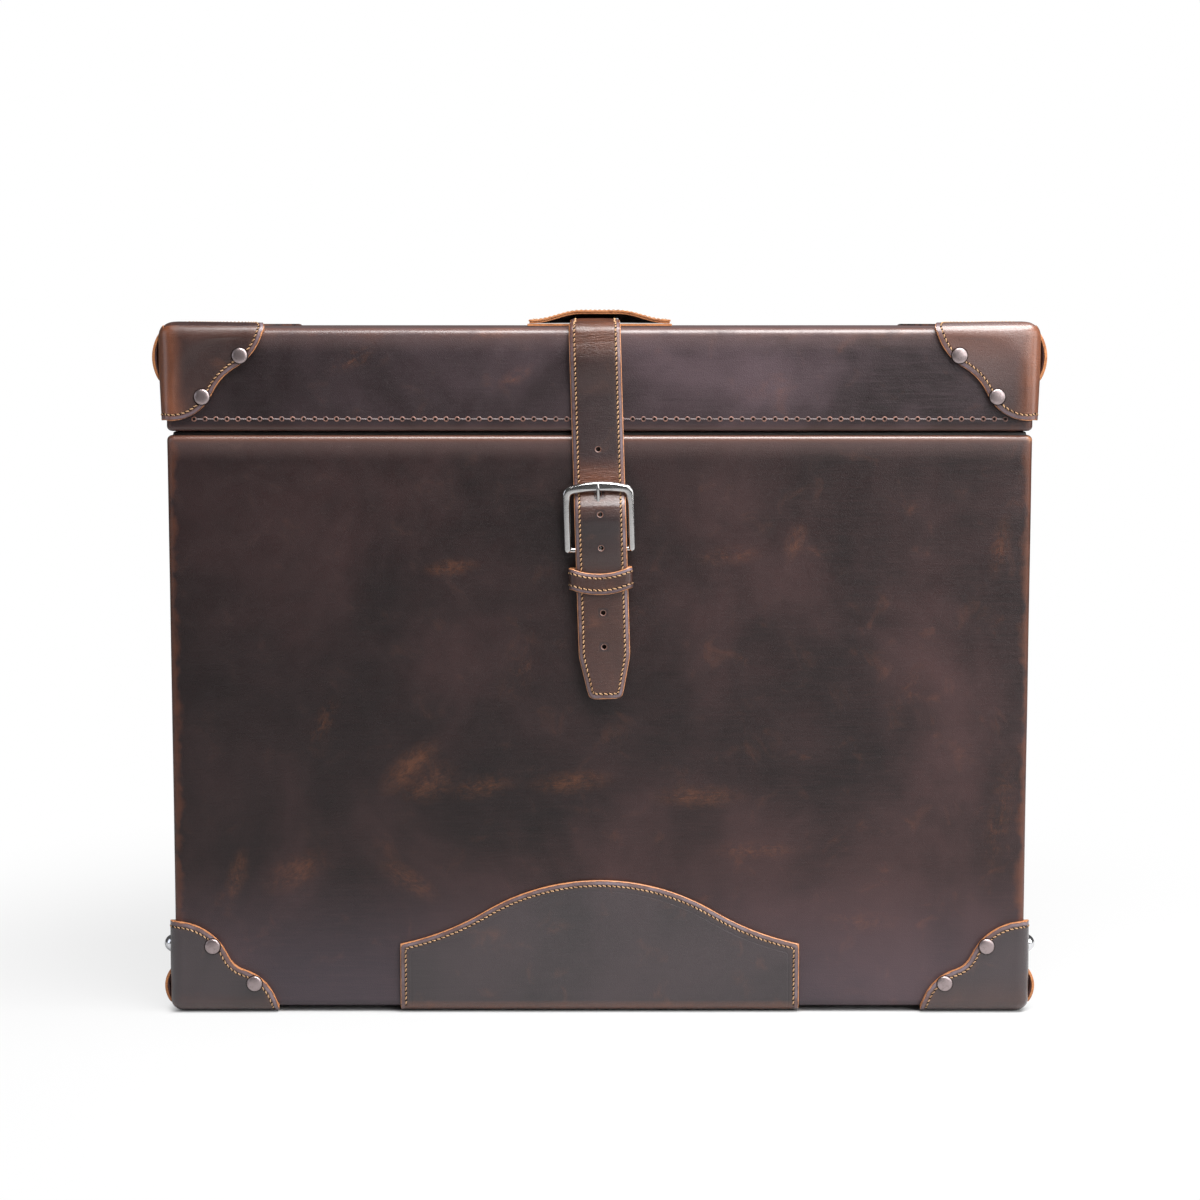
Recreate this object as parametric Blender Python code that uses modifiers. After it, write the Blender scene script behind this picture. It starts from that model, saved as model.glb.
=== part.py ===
"""Leather-covered trunk: a board case with a hinged lid, eight moulded leather corner caps, an arched
front patch, and one strap that runs over the lid, under a grip, into a frame buckle on the front.

Metres, +Z up. The front faces -Y. The origin is on the floor, under the middle of the whole trunk.
"""

import math

import bmesh
import bpy
from mathutils import Vector

# Case
CASE_WIDTH = 0.640
CASE_DEPTH = 0.250
BODY_HEIGHT = 0.4312
LID_HEIGHT = 0.076
JOINT_GAP = 0.003
CORNER_RADIUS = 0.006
SEAT = 0.0003
GLUE_LINE = 0.0004

# Walls
SHELL_LEATHER = 0.0025
BODY_BOARD = 0.006
LID_BOARD = 0.005
LINING = 0.0012
LINING_CORNER = 0.0024
TURN_IN = 0.014
COLLAR_BOARD = 0.004
COLLAR_DEPTH = 0.042
COLLAR_RISE = 0.009

# Corner caps
CAP_LEATHER = 0.0035
CAP_RADIUS = 0.010
LID_CAP_BULGE = 0.0026
BASE_CAP_BULGE = 0.0008
BULGE_REACH = 0.018
# Each outline is two round lobes joined by a hollow waist: (centre along, centre down, radius)
LID_CAP_LONG_LOBE = (0.0359, -0.0039, 0.0419)
LID_CAP_UPRIGHT_LOBE = (0.0078, 0.0380, 0.0339)
LID_CAP_WAIST = 0.045
BASE_CAP_LONG_LOBE = (0.0455, -0.0020, 0.0366)
BASE_CAP_UPRIGHT_LOBE = (0.0043, 0.0263, 0.0436)
BASE_CAP_WAIST = 0.020
LID_RIVETS = ((0.0559, 0.0204), (0.0277, 0.0506))
BASE_RIVETS = ((0.0603, 0.0191), (0.0292, 0.0476))
BASE_STUD = (0.0292, 0.0425)

# Fasteners
RIVET_RADIUS = 0.00575
RIVET_RISE = 0.0020
STUD_RADIUS = 0.0070
STUD_RISE = 0.0042

# Arched patch on the front
PATCH_LEATHER = 0.0026
PATCH_HALF_WIDTH = 0.1500
PATCH_SHOULDER = 0.0529
PATCH_CROWN = 0.1015
PATCH_CROWN_RADIUS = 0.168
PATCH_SHOULDER_RADIUS = 0.206
PATCH_UNDER = 0.030

# Strap
STRAP_WIDTH = 0.038
STRAP_LEATHER = 0.0038
STRAP_REAR_MARGIN = 0.035
STRAP_TOP_X = -0.0036
STRAP_LEAN = math.radians(1.75)
STRAP_TAPER = 0.032
STRAP_TIP_WIDTH = 0.0245
STRAP_TIP_STAND_OFF = 0.0070
STRAP_LENGTH_BELOW_LID_TOP = 0.2738
HOLE_RADIUS = 0.0016
HOLE_DROPS = (0.089, 0.161, 0.185, 0.2093, 0.2347)
PRONG_SLOT_WIDTH = 0.0042

# Buckle
HEEL_DROP = 0.1631
HEEL_BAR_RADIUS = 0.002
BUCKLE_WINDOW = 0.041
BUCKLE_ARM = 0.0058
BUCKLE_TOP_BAR = 0.0074
BUCKLE_THICKNESS = 0.0046
BUCKLE_BEVEL = 0.0011
BUCKLE_CORNER = 0.0065
BUCKLE_INNER_CORNER = 0.0022
BUCKLE_ARCH = 0.0024
BUCKLE_REACH = 0.0472
TOP_BAR_STAND_OFF = 0.0097
PRONG_RADIUS = 0.0016
PRONG_OVERHANG = 0.0030
RUNNING_CLEARANCE = 0.0003

BUCKLE_OFFSET = -0.0010

# Chape and keeper
CHAPE_WIDTH = 0.036
CHAPE_LEATHER = 0.0024
CHAPE_LENGTH = 0.052
CHAPE_SLOT = 0.0080
KEEPER_LEATHER = 0.0022
KEEPER_HEIGHT = 0.0175
KEEPER_DROP = 0.1860
KEEPER_SIDE_CLEARANCE = 0.0023
KEEPER_INNER_RADIUS = 0.0014

# Grip on the lid
GRIP_LENGTH = 0.110
GRIP_DEPTH = 0.030
GRIP_LEATHER = 0.0030
GRIP_CLEARANCE = 0.0032
GRIP_FLAT = 0.028
GRIP_PAD_LEATHER = 0.0018

# Butt hinges
HINGE_SPACING = CASE_WIDTH - 0.240
HINGE_LENGTH = 0.060
HINGE_LEAF = 0.0016
HINGE_LEAF_HEIGHT = 0.024
HINGE_BARREL_RADIUS = 0.0032
HINGE_PIN_RADIUS = 0.0015
KNUCKLE_GAP = 0.0004

ARC_STEPS = 4

# Levels and faces that follow from the sizes
HALF_WIDTH = CASE_WIDTH / 2
HALF_DEPTH = CASE_DEPTH / 2
BODY_FLOOR = CAP_LEATHER + SEAT
BODY_RIM = BODY_FLOOR + BODY_HEIGHT
LID_EDGE = BODY_RIM + JOINT_GAP
LID_TOP = LID_EDGE + LID_HEIGHT
HINGE_AXIS_Z = BODY_RIM + JOINT_GAP / 2
HINGE_AXIS_Y = HALF_DEPTH + SEAT + HINGE_BARREL_RADIUS
HEEL_Z = LID_TOP - HEEL_DROP
HEEL_STAND_OFF = SEAT + CHAPE_LEATHER + RUNNING_CLEARANCE + HEEL_BAR_RADIUS
CHAPE_INNER = HEEL_BAR_RADIUS + RUNNING_CLEARANCE
KEEPER_TOP = LID_TOP - KEEPER_DROP + KEEPER_HEIGHT / 2
KEEPER_BOTTOM = KEEPER_TOP - KEEPER_HEIGHT
KEEPER_BACK = SEAT + CHAPE_LEATHER + SEAT
CHAPE_FRONT_BACK = KEEPER_BACK + KEEPER_LEATHER + SEAT
STRAP_KEEPER_STAND_OFF = CHAPE_FRONT_BACK + CHAPE_LEATHER + SEAT
STRAP_HEEL_STAND_OFF = HEEL_STAND_OFF + CHAPE_INNER + CHAPE_LEATHER + 2 * SEAT
KEEPER_FRONT = STRAP_KEEPER_STAND_OFF + STRAP_LEATHER + SEAT
TOP_BAR_Z = HEEL_Z + BUCKLE_REACH
TOP_BAR_BACK = TOP_BAR_STAND_OFF - BUCKLE_THICKNESS / 2
STRAP_SPLIT_Z = LID_TOP - CORNER_RADIUS
STRAP_TIP_Z = LID_TOP - STRAP_LENGTH_BELOW_LID_TOP
STRAP_BULGE = STRAP_HEEL_STAND_OFF + 0.0023
BULGE_Z = TOP_BAR_Z - 0.0222
DIVE_Z = TOP_BAR_Z - 0.0006
FRONT_REACH = HALF_DEPTH + STRAP_BULGE + STRAP_LEATHER
BACK_REACH = HINGE_AXIS_Y + HINGE_BARREL_RADIUS
CENTRE_SHIFT = (FRONT_REACH - BACK_REACH) / 2
GRIP_PAD_TOP = LID_TOP + SEAT + GRIP_PAD_LEATHER


def cleared_scene():
    for obj in list(bpy.data.objects):
        bpy.data.objects.remove(obj, do_unlink=True)
    parts = bpy.data.collections.new("leather_trunk")
    cutters = bpy.data.collections.new("cutters")
    cutters.hide_render = True
    for collection in (parts, cutters):
        bpy.context.scene.collection.children.link(collection)
    return parts, cutters


PARTS, CUTTERS = cleared_scene()


def empty(name, location, parent=None):
    made = bpy.data.objects.new(name, None)
    made.location = location
    made.parent = parent
    PARTS.objects.link(made)
    return made


TRUNK = empty("trunk_origin", (0, CENTRE_SHIFT, 0))


def material(name, color, roughness, metallic=0.0):
    made = bpy.data.materials.new(name)
    made.use_nodes = True
    shader = made.node_tree.nodes["Principled BSDF"]
    shader.inputs["Base Color"].default_value = (*color, 1)
    shader.inputs["Roughness"].default_value = roughness
    shader.inputs["Metallic"].default_value = metallic
    return made


SHELL_HIDE = material("shell_leather", (0.035, 0.022, 0.020), 0.45)
CAP_HIDE = material("cap_leather", (0.045, 0.026, 0.020), 0.40)
STRAP_HIDE = material("strap_leather", (0.055, 0.032, 0.024), 0.42)
GRIP_HIDE = material("grip_leather", (0.16, 0.075, 0.035), 0.60)
CASE_BOARD = material("case_board", (0.42, 0.30, 0.18), 0.75)
LINING_CLOTH = material("lining_cloth", (0.10, 0.075, 0.06), 0.90)
NICKEL = material("antique_nickel", (0.50, 0.46, 0.44), 0.35, 1.0)
BRIGHT_NICKEL = material("bright_nickel", (0.70, 0.69, 0.67), 0.18, 1.0)
STEEL = material("hinge_steel", (0.38, 0.33, 0.24), 0.40, 1.0)


def add(name, mesh, surface, parent=TRUNK, collection=PARTS):
    made = bpy.data.objects.new(name, mesh)
    made.parent = parent
    mesh.materials.append(surface)
    collection.objects.link(made)
    return made


def mesh_from(name, bm):
    mesh = bpy.data.meshes.new(name)
    bm.to_mesh(mesh)
    bm.free()
    return mesh


def turn_outward(bm, measure):
    """Makes every face agree, then turns them all over if their measure sums below zero."""
    bmesh.ops.recalc_face_normals(bm, faces=bm.faces)
    bm.normal_update()
    if sum(measure(face) for face in bm.faces) < 0:
        bmesh.ops.reverse_faces(bm, faces=bm.faces)


def smooth(obj, angle=35):
    obj.data.shade_smooth()
    obj.data.set_sharp_from_angle(angle=math.radians(angle))
    return obj


def thicken(obj, thickness, offset=-1):
    solid = obj.modifiers.new("leather", "SOLIDIFY")
    solid.thickness = thickness
    solid.offset = offset
    solid.use_even_offset = True
    return obj


def box_mesh(name, low, high):
    bm = bmesh.new()
    bmesh.ops.create_cube(bm, size=1)
    size = Vector(high) - Vector(low)
    bmesh.ops.scale(bm, vec=size, verts=bm.verts)
    bmesh.ops.translate(bm, vec=(Vector(low) + Vector(high)) / 2, verts=bm.verts)
    return mesh_from(name, bm)


def cylinder_mesh(name, radius, start, end, sides=24):
    bm = bmesh.new()
    start, end = Vector(start), Vector(end)
    bmesh.ops.create_cone(
        bm, cap_ends=True, segments=sides, radius1=radius, radius2=radius,
        depth=(end - start).length,
    )
    turn = Vector((0, 0, 1)).rotation_difference(end - start).to_matrix()
    bmesh.ops.rotate(bm, matrix=turn, verts=bm.verts)
    bmesh.ops.translate(bm, vec=(start + end) / 2, verts=bm.verts)
    return mesh_from(name, bm)


def combine(obj, tool_mesh, operation):
    """Joins or cuts with a helper solid that shares the object's parent."""
    tool = bpy.data.objects.new(f"{obj.name}_{operation.lower()}", tool_mesh)
    tool.parent = obj.parent
    tool.hide_render = True
    tool.display_type = "WIRE"
    CUTTERS.objects.link(tool)
    step = obj.modifiers.new(tool.name, "BOOLEAN")
    step.operation = operation
    step.object = tool
    step.solver = "EXACT"
    return obj


def blended(first, last, share):
    """Eases from first to last as share goes from 0 to 1."""
    share = min(max(share, 0), 1)
    return first + (last - first) * share * share * (3 - 2 * share)


def corner_chamfer(radius, leather):
    """The least chamfer that keeps a board's corner inside the hide's rounded corner."""
    inside = radius * math.cos(math.pi / (4 * ARC_STEPS)) - leather - GLUE_LINE / 2
    face = radius - leather - GLUE_LINE
    return face - math.sqrt(max(inside ** 2 - face ** 2, 0))


def board(name, low, high, chamfer):
    made = add(name, box_mesh(name, low, high), CASE_BOARD)
    edges = made.modifiers.new("arris", "BEVEL")
    edges.width = chamfer
    edges.segments = 1
    edges.limit_method = "NONE"
    return made


def ring(inset, z, least_radius=0.0006):
    """Points round a level section of the case, set in from its outer face."""
    radius = max(CORNER_RADIUS - inset, least_radius)
    across, along = HALF_WIDTH - inset - radius, HALF_DEPTH - inset - radius
    points = []
    for quarter, (sx, sy) in enumerate(((1, 1), (-1, 1), (-1, -1), (1, -1))):
        for step in range(ARC_STEPS + 1):
            angle = math.radians(90 * (quarter + step / ARC_STEPS))
            points.append((
                sx * across + radius * math.cos(angle),
                sy * along + radius * math.sin(angle),
                z,
            ))
    return points


def lofted(name, sections, least_radius=0.0006):
    """An open skin through level rings, closed over its first ring."""
    bm = bmesh.new()
    rings = [[bm.verts.new(p) for p in ring(inset, z, least_radius)] for inset, z in sections]
    bm.faces.new(rings[0])
    count = len(rings[0])
    for near, far in zip(rings, rings[1:]):
        for i in range(count):
            j = (i + 1) % count
            bm.faces.new((near[i], near[j], far[j], far[i]))
    bmesh.ops.recalc_face_normals(bm, faces=bm.faces)
    return mesh_from(name, bm)


def arc(centre, radius, first, last, steps=ARC_STEPS):
    """(inset, height) points on a circle, with angles in degrees."""
    angles = (math.radians(first + (last - first) * k / steps) for k in range(steps + 1))
    return [(centre[0] + radius * math.cos(a), centre[1] + radius * math.sin(a)) for a in angles]


def skin_sections(closed_z, open_z, wall):
    """A hide from its closed face, round the arris, along the wall, and over the rim to its turn-in."""
    way = 1 if open_z > closed_z else -1
    curl = (wall + 2 * GLUE_LINE + 2 * SHELL_LEATHER) / 2
    rounded = arc((CORNER_RADIUS, 0), CORNER_RADIUS, 270, 180)
    rim = arc((curl, 0), curl, 180, 0, 2 * ARC_STEPS)
    turned = [(2 * curl, -TURN_IN)]
    base = [(i, closed_z + way * (CORNER_RADIUS + z)) for i, z in rounded]
    edge = [(i, open_z + way * (z - curl)) for i, z in rim + turned]
    return base + edge


def shell(name, closed_z, open_z, wall):
    made = add(name, lofted(name, skin_sections(closed_z, open_z, wall)), SHELL_HIDE)
    return smooth(thicken(made, SHELL_LEATHER))


def lining(name, closed_z, open_z, wall):
    """A cloth tray inside the boards, which stops short of the hide's turn-in."""
    way = 1 if open_z > closed_z else -1
    board_face = SHELL_LEATHER + GLUE_LINE + wall
    curl = (wall + 2 * GLUE_LINE + 2 * SHELL_LEATHER) / 2
    floor_z = closed_z + way * (board_face + GLUE_LINE)
    top_z = open_z - way * (curl + TURN_IN + SEAT)
    inset = board_face + GLUE_LINE
    tray = lofted(name, [(inset, floor_z), (inset, top_z)], LINING_CORNER)
    made = add(name, tray, LINING_CLOTH)
    return thicken(made, LINING)


def walls(prefix, closed_z, open_z, wall):
    """Five boards that butt against each other inside a hide."""
    way = 1 if open_z > closed_z else -1
    skin = SHELL_LEATHER + GLUE_LINE
    chamfer = corner_chamfer(CORNER_RADIUS, SHELL_LEATHER)
    x, y = HALF_WIDTH - skin, HALF_DEPTH - skin
    outer_z = closed_z + way * skin
    inner_z = outer_z + way * wall
    top_z = open_z - way * (SHELL_LEATHER + GLUE_LINE)
    flat = sorted((outer_z, inner_z))
    upright = sorted((inner_z + way * SEAT, top_z))
    face = "top" if way < 0 else "bottom"
    board(f"{prefix}_board_{face}", (-x, -y, flat[0]), (x, y, flat[1]), chamfer)
    for side, sign in (("front", -1), ("back", 1)):
        near, far = sorted((sign * y, sign * (y - wall)))
        board(f"{prefix}_board_{side}", (-x, near, upright[0]), (x, far, upright[1]), chamfer)
    inner_y = y - wall - SEAT
    for side, sign in (("left", -1), ("right", 1)):
        near, far = sorted((sign * x, sign * (x - wall)))
        board(f"{prefix}_board_{side}", (near, -inner_y, upright[0]), (far, inner_y, upright[1]), chamfer)


def collar():
    """Four strips inside the body that stand above its rim and guide the lid."""
    inset = 2 * SHELL_LEATHER + 2 * GLUE_LINE + BODY_BOARD + SEAT
    x, y = HALF_WIDTH - inset, HALF_DEPTH - inset
    top = LID_EDGE + COLLAR_RISE
    low = top - COLLAR_DEPTH
    chamfer = 0.0008
    for side, sign in (("front", -1), ("back", 1)):
        near, far = sorted((sign * y, sign * (y - COLLAR_BOARD)))
        board(f"collar_{side}", (-x, near, low), (x, far, top), chamfer)
    inner_y = y - COLLAR_BOARD - SEAT
    for side, sign in (("left", -1), ("right", 1)):
        near, far = sorted((sign * x, sign * (x - COLLAR_BOARD)))
        board(f"collar_{side}", (near, -inner_y, low), (far, inner_y, top), chamfer)


def meeting_circle(first, second, radius, side):
    """Centre of the circle that touches two others from outside, on the given side of their line."""
    a, b = Vector(first[:2]), Vector(second[:2])
    reach_a, reach_b = first[2] + radius, second[2] + radius
    gap = (b - a).length
    along = (reach_a ** 2 - reach_b ** 2 + gap ** 2) / (2 * gap)
    out = math.sqrt(reach_a ** 2 - along ** 2)
    direction = (b - a) / gap
    return a + direction * along + Vector((-direction.y, direction.x)) * out * side


def sweep(centre, radius, start, end, steps):
    """Points on a circle from one direction to another, the short way round."""
    first = math.atan2(start.y, start.x)
    turn = (math.atan2(end.y, end.x) - first + math.pi) % (2 * math.pi) - math.pi
    angles = (first + turn * k / steps for k in range(steps + 1))
    return [Vector(centre) + radius * Vector((math.cos(a), math.sin(a))) for a in angles]


def cap_outline(long_lobe, upright_lobe, waist):
    """The free edge of one wing, from the edge that runs along it to the edge that runs down it."""
    hollow = meeting_circle(long_lobe, upright_lobe, waist, -1)
    a, b = Vector(long_lobe[:2]), Vector(upright_lobe[:2])
    start = Vector((math.sqrt(long_lobe[2] ** 2 - a.y ** 2), -a.y))
    finish = Vector((-b.x, math.sqrt(upright_lobe[2] ** 2 - b.x ** 2)))
    steps = 24
    points = sweep(a, long_lobe[2], start, hollow - a, steps)
    points += sweep(hollow, waist, a - hollow, b - hollow, steps)[1:]
    points += sweep(b, upright_lobe[2], hollow - b, finish, steps)[1:]
    return points, steps + steps // 2


def walked(points, knots, axis):
    """Points on a line where one coordinate reaches the knots, then evenly along the rest."""
    found, index = [], 0
    near = [k for k in knots if k <= CAP_RADIUS * 1.001]
    for level in near:
        while index < len(points) - 2 and points[index + 1][axis] < level:
            index += 1
        p, q = points[index], points[index + 1]
        share = (level - p[axis]) / max(q[axis] - p[axis], 1e-9)
        found.append(p.lerp(q, min(max(share, 0), 1)))
    rest = [found[-1]] + points[index + 1:]
    lengths = [0.0]
    for p, q in zip(rest, rest[1:]):
        lengths.append(lengths[-1] + (q - p).length)
    more = len(knots) - len(near)
    for step in range(1, more + 1):
        target = lengths[-1] * step / more
        k = max(i for i in range(len(rest) - 1) if lengths[i] <= target + 1e-12)
        span = max(lengths[k + 1] - lengths[k], 1e-9)
        found.append(rest[k].lerp(rest[k + 1], (target - lengths[k]) / span))
    return found


def edge_knots(reach):
    """Distances from a corner: close together round the arris, then even."""
    turns = (0, 1 / 3, 2 / 3, 1)
    near = [CAP_RADIUS * (1 - math.tan(math.pi / 4 * (1 - t))) for t in turns]
    cells = 4
    return near + [CAP_RADIUS + (reach - CAP_RADIUS) * k / cells for k in range(1, cells + 1)]


def evened(grid, rounds=8, pull=1.6):
    """Spreads the inner points of a wing's flat part, drawn towards the corner and away from the hollow edge."""
    first = sum(1 for point, _ in grid[0] if point.y <= CAP_RADIUS * 1.001)
    for _ in range(rounds):
        for i in range(first, len(grid) - 1):
            for j in range(first, len(grid[0]) - 1):
                near = grid[i - 1][j][0] + grid[i][j - 1][0]
                far = grid[i + 1][j][0] + grid[i][j + 1][0]
                grid[i][j] = ((near * pull + far) / (2 * pull + 2), grid[i][j][1])
    return grid


def wing(outline, middle):
    """A grid of points over one wing, each with its freedom: 1 at the corner, 0 at the free edge."""
    along, down = edge_knots(outline[0].x), edge_knots(outline[-1].y)
    far_along = walked(outline[:middle + 1], down, 1)
    far_down = walked(outline[middle:][::-1], along, 0)
    grid = []
    for i, u in enumerate(along):
        s, column = u / along[-1], []
        for j, v in enumerate(down):
            t = v / down[-1]
            flat = Vector((u, 0)) * (1 - t) + far_down[i] * t
            upright = Vector((0, v)) * (1 - s) + far_along[j] * s
            both = (
                Vector((along[-1], 0)) * s * (1 - t) + Vector((0, down[-1])) * (1 - s) * t
                + outline[middle] * s * t
            )
            column.append((flat + upright - both, (1 - s * s) * (1 - t * t)))
        grid.append(column)
    return evened(grid)


def cap(name, sx, sy, top, long_lobe, upright_lobe, waist, bulge):
    """A moulded cap of three wings over one corner of the case: front or back, side, and top or bottom."""
    corner = Vector((
        sx * (HALF_WIDTH + SEAT + CAP_LEATHER),
        sy * (HALF_DEPTH + SEAT + CAP_LEATHER),
        LID_TOP + SEAT + CAP_LEATHER if top else 0.0,
    ))
    inward = Vector((-sx, -sy, -1 if top else 1))
    sides = cap_outline(long_lobe, upright_lobe, waist)
    flat = cap_outline(long_lobe, (long_lobe[1], long_lobe[0], long_lobe[2]), waist)
    wings = ((0, 2, wing(*sides)), (1, 2, wing(*sides)), (0, 1, wing(*flat)))
    core = corner + inward * CAP_RADIUS
    bm = bmesh.new()
    for first, second, grid in wings:
        verts = []
        for column in grid:
            row = []
            for (u, v), freedom in column:
                place = corner.copy()
                place[first] += inward[first] * u
                place[second] += inward[second] * v
                out = Vector((
                    min((place[k] - core[k]) * -inward[k], CAP_RADIUS) * -inward[k]
                    if (place[k] - core[k]) * -inward[k] > 0 else 0
                    for k in range(3)
                ))
                base = place - out
                normal = out.normalized()
                edge_share = 1 - blended(0, 1, min(u, v) / BULGE_REACH)
                lift = normal * bulge * freedom * edge_share
                if not top:
                    lift.z = 0
                row.append(bm.verts.new(base + normal * CAP_RADIUS + lift))
            verts.append(row)
        for i in range(len(verts) - 1):
            for j in range(len(verts[0]) - 1):
                bm.faces.new((verts[i][j], verts[i + 1][j], verts[i + 1][j + 1], verts[i][j + 1]))
    bmesh.ops.remove_doubles(bm, verts=bm.verts, dist=0.00002)
    turn_outward(bm, lambda face: face.normal.dot(face.calc_center_median() - core))
    made = add(name, mesh_from(name, bm), CAP_HIDE)
    return smooth(thicken(made, CAP_LEATHER), 50)


def turned(name, profile, place, facing, surface, steps=12):
    """A round piece: (radius, height) points down its outer side, turned about its own axis."""
    bm = bmesh.new()
    verts = [bm.verts.new((r, 0, h)) for r, h in profile]
    for near, far in zip(verts, verts[1:]):
        bm.edges.new((near, far))
    made = add(name, mesh_from(name, bm), surface)
    made.location = place
    made.rotation_euler = Vector((0, 0, 1)).rotation_difference(Vector(facing)).to_euler()
    screw = made.modifiers.new("turn", "SCREW")
    screw.steps = steps
    screw.render_steps = steps
    screw.use_merge_vertices = True
    screw.merge_threshold = 0.00005
    return smooth(made, 40)


def rivet_profile(radius, rise):
    """A low dome with a rolled rim and a flat seat."""
    return [
        (0, rise), (radius * 0.45, rise * 0.93), (radius * 0.78, rise * 0.72),
        (radius * 0.95, rise * 0.40), (radius, rise * 0.12), (radius * 0.97, 0), (0, 0),
    ]


def corner_fasteners():
    """Two rivets on the front wing of each front cap, and a domed stud on each base cap's side wing."""
    front = -(HALF_DEPTH + SEAT + CAP_LEATHER + SEAT)
    side = HALF_WIDTH + SEAT + CAP_LEATHER + SEAT
    for level, spots in (("lid", LID_RIVETS), ("base", BASE_RIVETS)):
        for hand, sx in (("left", -1), ("right", 1)):
            for place, (u, v) in zip(("inner", "outer"), spots):
                z = LID_TOP - v if level == "lid" else BODY_FLOOR + v
                turned(
                    f"{level}_{hand}_{place}_rivet", rivet_profile(RIVET_RADIUS, RIVET_RISE),
                    (sx * (HALF_WIDTH - u), front, z), (0, -1, 0), NICKEL,
                )
    u, v = BASE_STUD
    for hand, sx in (("left", -1), ("right", 1)):
        for face, sy in (("front", -1), ("back", 1)):
            turned(
                f"{hand}_{face}_stud", rivet_profile(STUD_RADIUS, STUD_RISE),
                (sx * side, sy * (HALF_DEPTH - u), BODY_FLOOR + v), (sx, 0, 0), BRIGHT_NICKEL,
            )


def caps():
    lid_form = (LID_CAP_LONG_LOBE, LID_CAP_UPRIGHT_LOBE, LID_CAP_WAIST, LID_CAP_BULGE)
    base_form = (BASE_CAP_LONG_LOBE, BASE_CAP_UPRIGHT_LOBE, BASE_CAP_WAIST, BASE_CAP_BULGE)
    for face, sy in (("front", -1), ("back", 1)):
        for hand, sx in (("left", -1), ("right", 1)):
            cap(f"lid_cap_{face}_{hand}", sx, sy, True, *lid_form)
            cap(f"base_cap_{face}_{hand}", sx, sy, False, *base_form)


def grid_sheet(name, rows, surface, thickness, parent=TRUNK, facing=(0, -1, 0)):
    """A sheet through rows of points, thickened towards the way it faces."""
    bm = bmesh.new()
    verts = [[bm.verts.new(p) for p in row] for row in rows]
    for near, far in zip(verts, verts[1:]):
        for i in range(len(near) - 1):
            bm.faces.new((near[i], near[i + 1], far[i + 1], far[i]))
    turn_outward(bm, lambda face: face.normal.dot(Vector(facing)))
    made = add(name, mesh_from(name, bm), surface, parent)
    return smooth(thicken(made, thickness, 1))


def patch_top(x):
    """Height of the arched patch: a round crown that flows into hollow shoulders."""
    low = Vector((0, PATCH_CROWN - PATCH_CROWN_RADIUS))
    shoulder = Vector((PATCH_HALF_WIDTH, PATCH_SHOULDER))
    near = (low.x, low.y, PATCH_CROWN_RADIUS)
    end = (shoulder.x, shoulder.y, 0.0)
    hollow = meeting_circle(near, end, PATCH_SHOULDER_RADIUS, 1)
    touch = low + (hollow - low).normalized() * PATCH_CROWN_RADIUS
    x = abs(x)
    if x < touch.x:
        return low.y + math.sqrt(PATCH_CROWN_RADIUS ** 2 - x * x)
    return hollow.y - math.sqrt(PATCH_SHOULDER_RADIUS ** 2 - (x - hollow.x) ** 2)


def arched_patch():
    """One piece of hide up the front and round the bottom arris, under the case."""
    columns, bends = 32, 4
    radius = CORNER_RADIUS + SEAT
    rows = []
    xs = [PATCH_HALF_WIDTH * (2 * k / columns - 1) for k in range(columns + 1)]
    front = -(HALF_DEPTH + SEAT)
    rows.append([(x, front, patch_top(x)) for x in xs])
    for k in range(bends + 1):
        angle = math.pi / 2 * k / bends
        y = front + radius * (1 - math.cos(angle))
        z = BODY_FLOOR - SEAT + radius * (1 - math.sin(angle))
        rows.append([(x, y, z) for x in xs])
    rows.append([(x, front + PATCH_UNDER, BODY_FLOOR - SEAT) for x in xs])
    return grid_sheet("front_patch", rows, CAP_HIDE, PATCH_LEATHER, facing=(0, -1, -0.3))


def strap_stand_off(z):
    """How far the back of the strap stands from the front of the case, at each height."""
    if z >= BULGE_Z:
        return blended(SEAT, STRAP_BULGE, (DIVE_Z - z) / (DIVE_Z - BULGE_Z))
    if z >= HEEL_Z:
        return blended(STRAP_BULGE, STRAP_HEEL_STAND_OFF, (BULGE_Z - z) / (BULGE_Z - HEEL_Z))
    if z >= KEEPER_BOTTOM:
        return blended(STRAP_HEEL_STAND_OFF, STRAP_KEEPER_STAND_OFF, (HEEL_Z - z) / (HEEL_Z - KEEPER_TOP))
    return blended(STRAP_KEEPER_STAND_OFF, STRAP_TIP_STAND_OFF, (KEEPER_BOTTOM - z) / (KEEPER_BOTTOM - STRAP_TIP_Z))


def strap_centre(z):
    """The strap's centre line leans to the right as it hangs."""
    return STRAP_TOP_X + (STRAP_SPLIT_Z - z) * math.tan(STRAP_LEAN)


def strap_half_width(z):
    if z > STRAP_TIP_Z + STRAP_TAPER:
        return STRAP_WIDTH / 2
    share = (z - STRAP_TIP_Z) / STRAP_TAPER
    return (STRAP_TIP_WIDTH + (STRAP_WIDTH - STRAP_TIP_WIDTH) * share) / 2


def strap_levels():
    """Heights of the strap's cross rows: few where it lies flat, many where it bends."""
    levels = [STRAP_SPLIT_Z - SEAT, (STRAP_SPLIT_Z + DIVE_Z) / 2, DIVE_Z + 0.004]
    bends = 10
    levels += [DIVE_Z + (BULGE_Z - DIVE_Z) * k / bends for k in range(bends + 1)]
    levels += [BULGE_Z + (HEEL_Z - BULGE_Z) * k / 4 for k in range(1, 5)]
    levels += [HEEL_Z + (KEEPER_TOP - HEEL_Z) * k / 3 for k in range(1, 4)]
    levels += [KEEPER_BOTTOM, (KEEPER_BOTTOM + STRAP_TIP_Z + STRAP_TAPER) / 2]
    levels += [STRAP_TIP_Z + STRAP_TAPER, STRAP_TIP_Z]
    return levels


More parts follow.
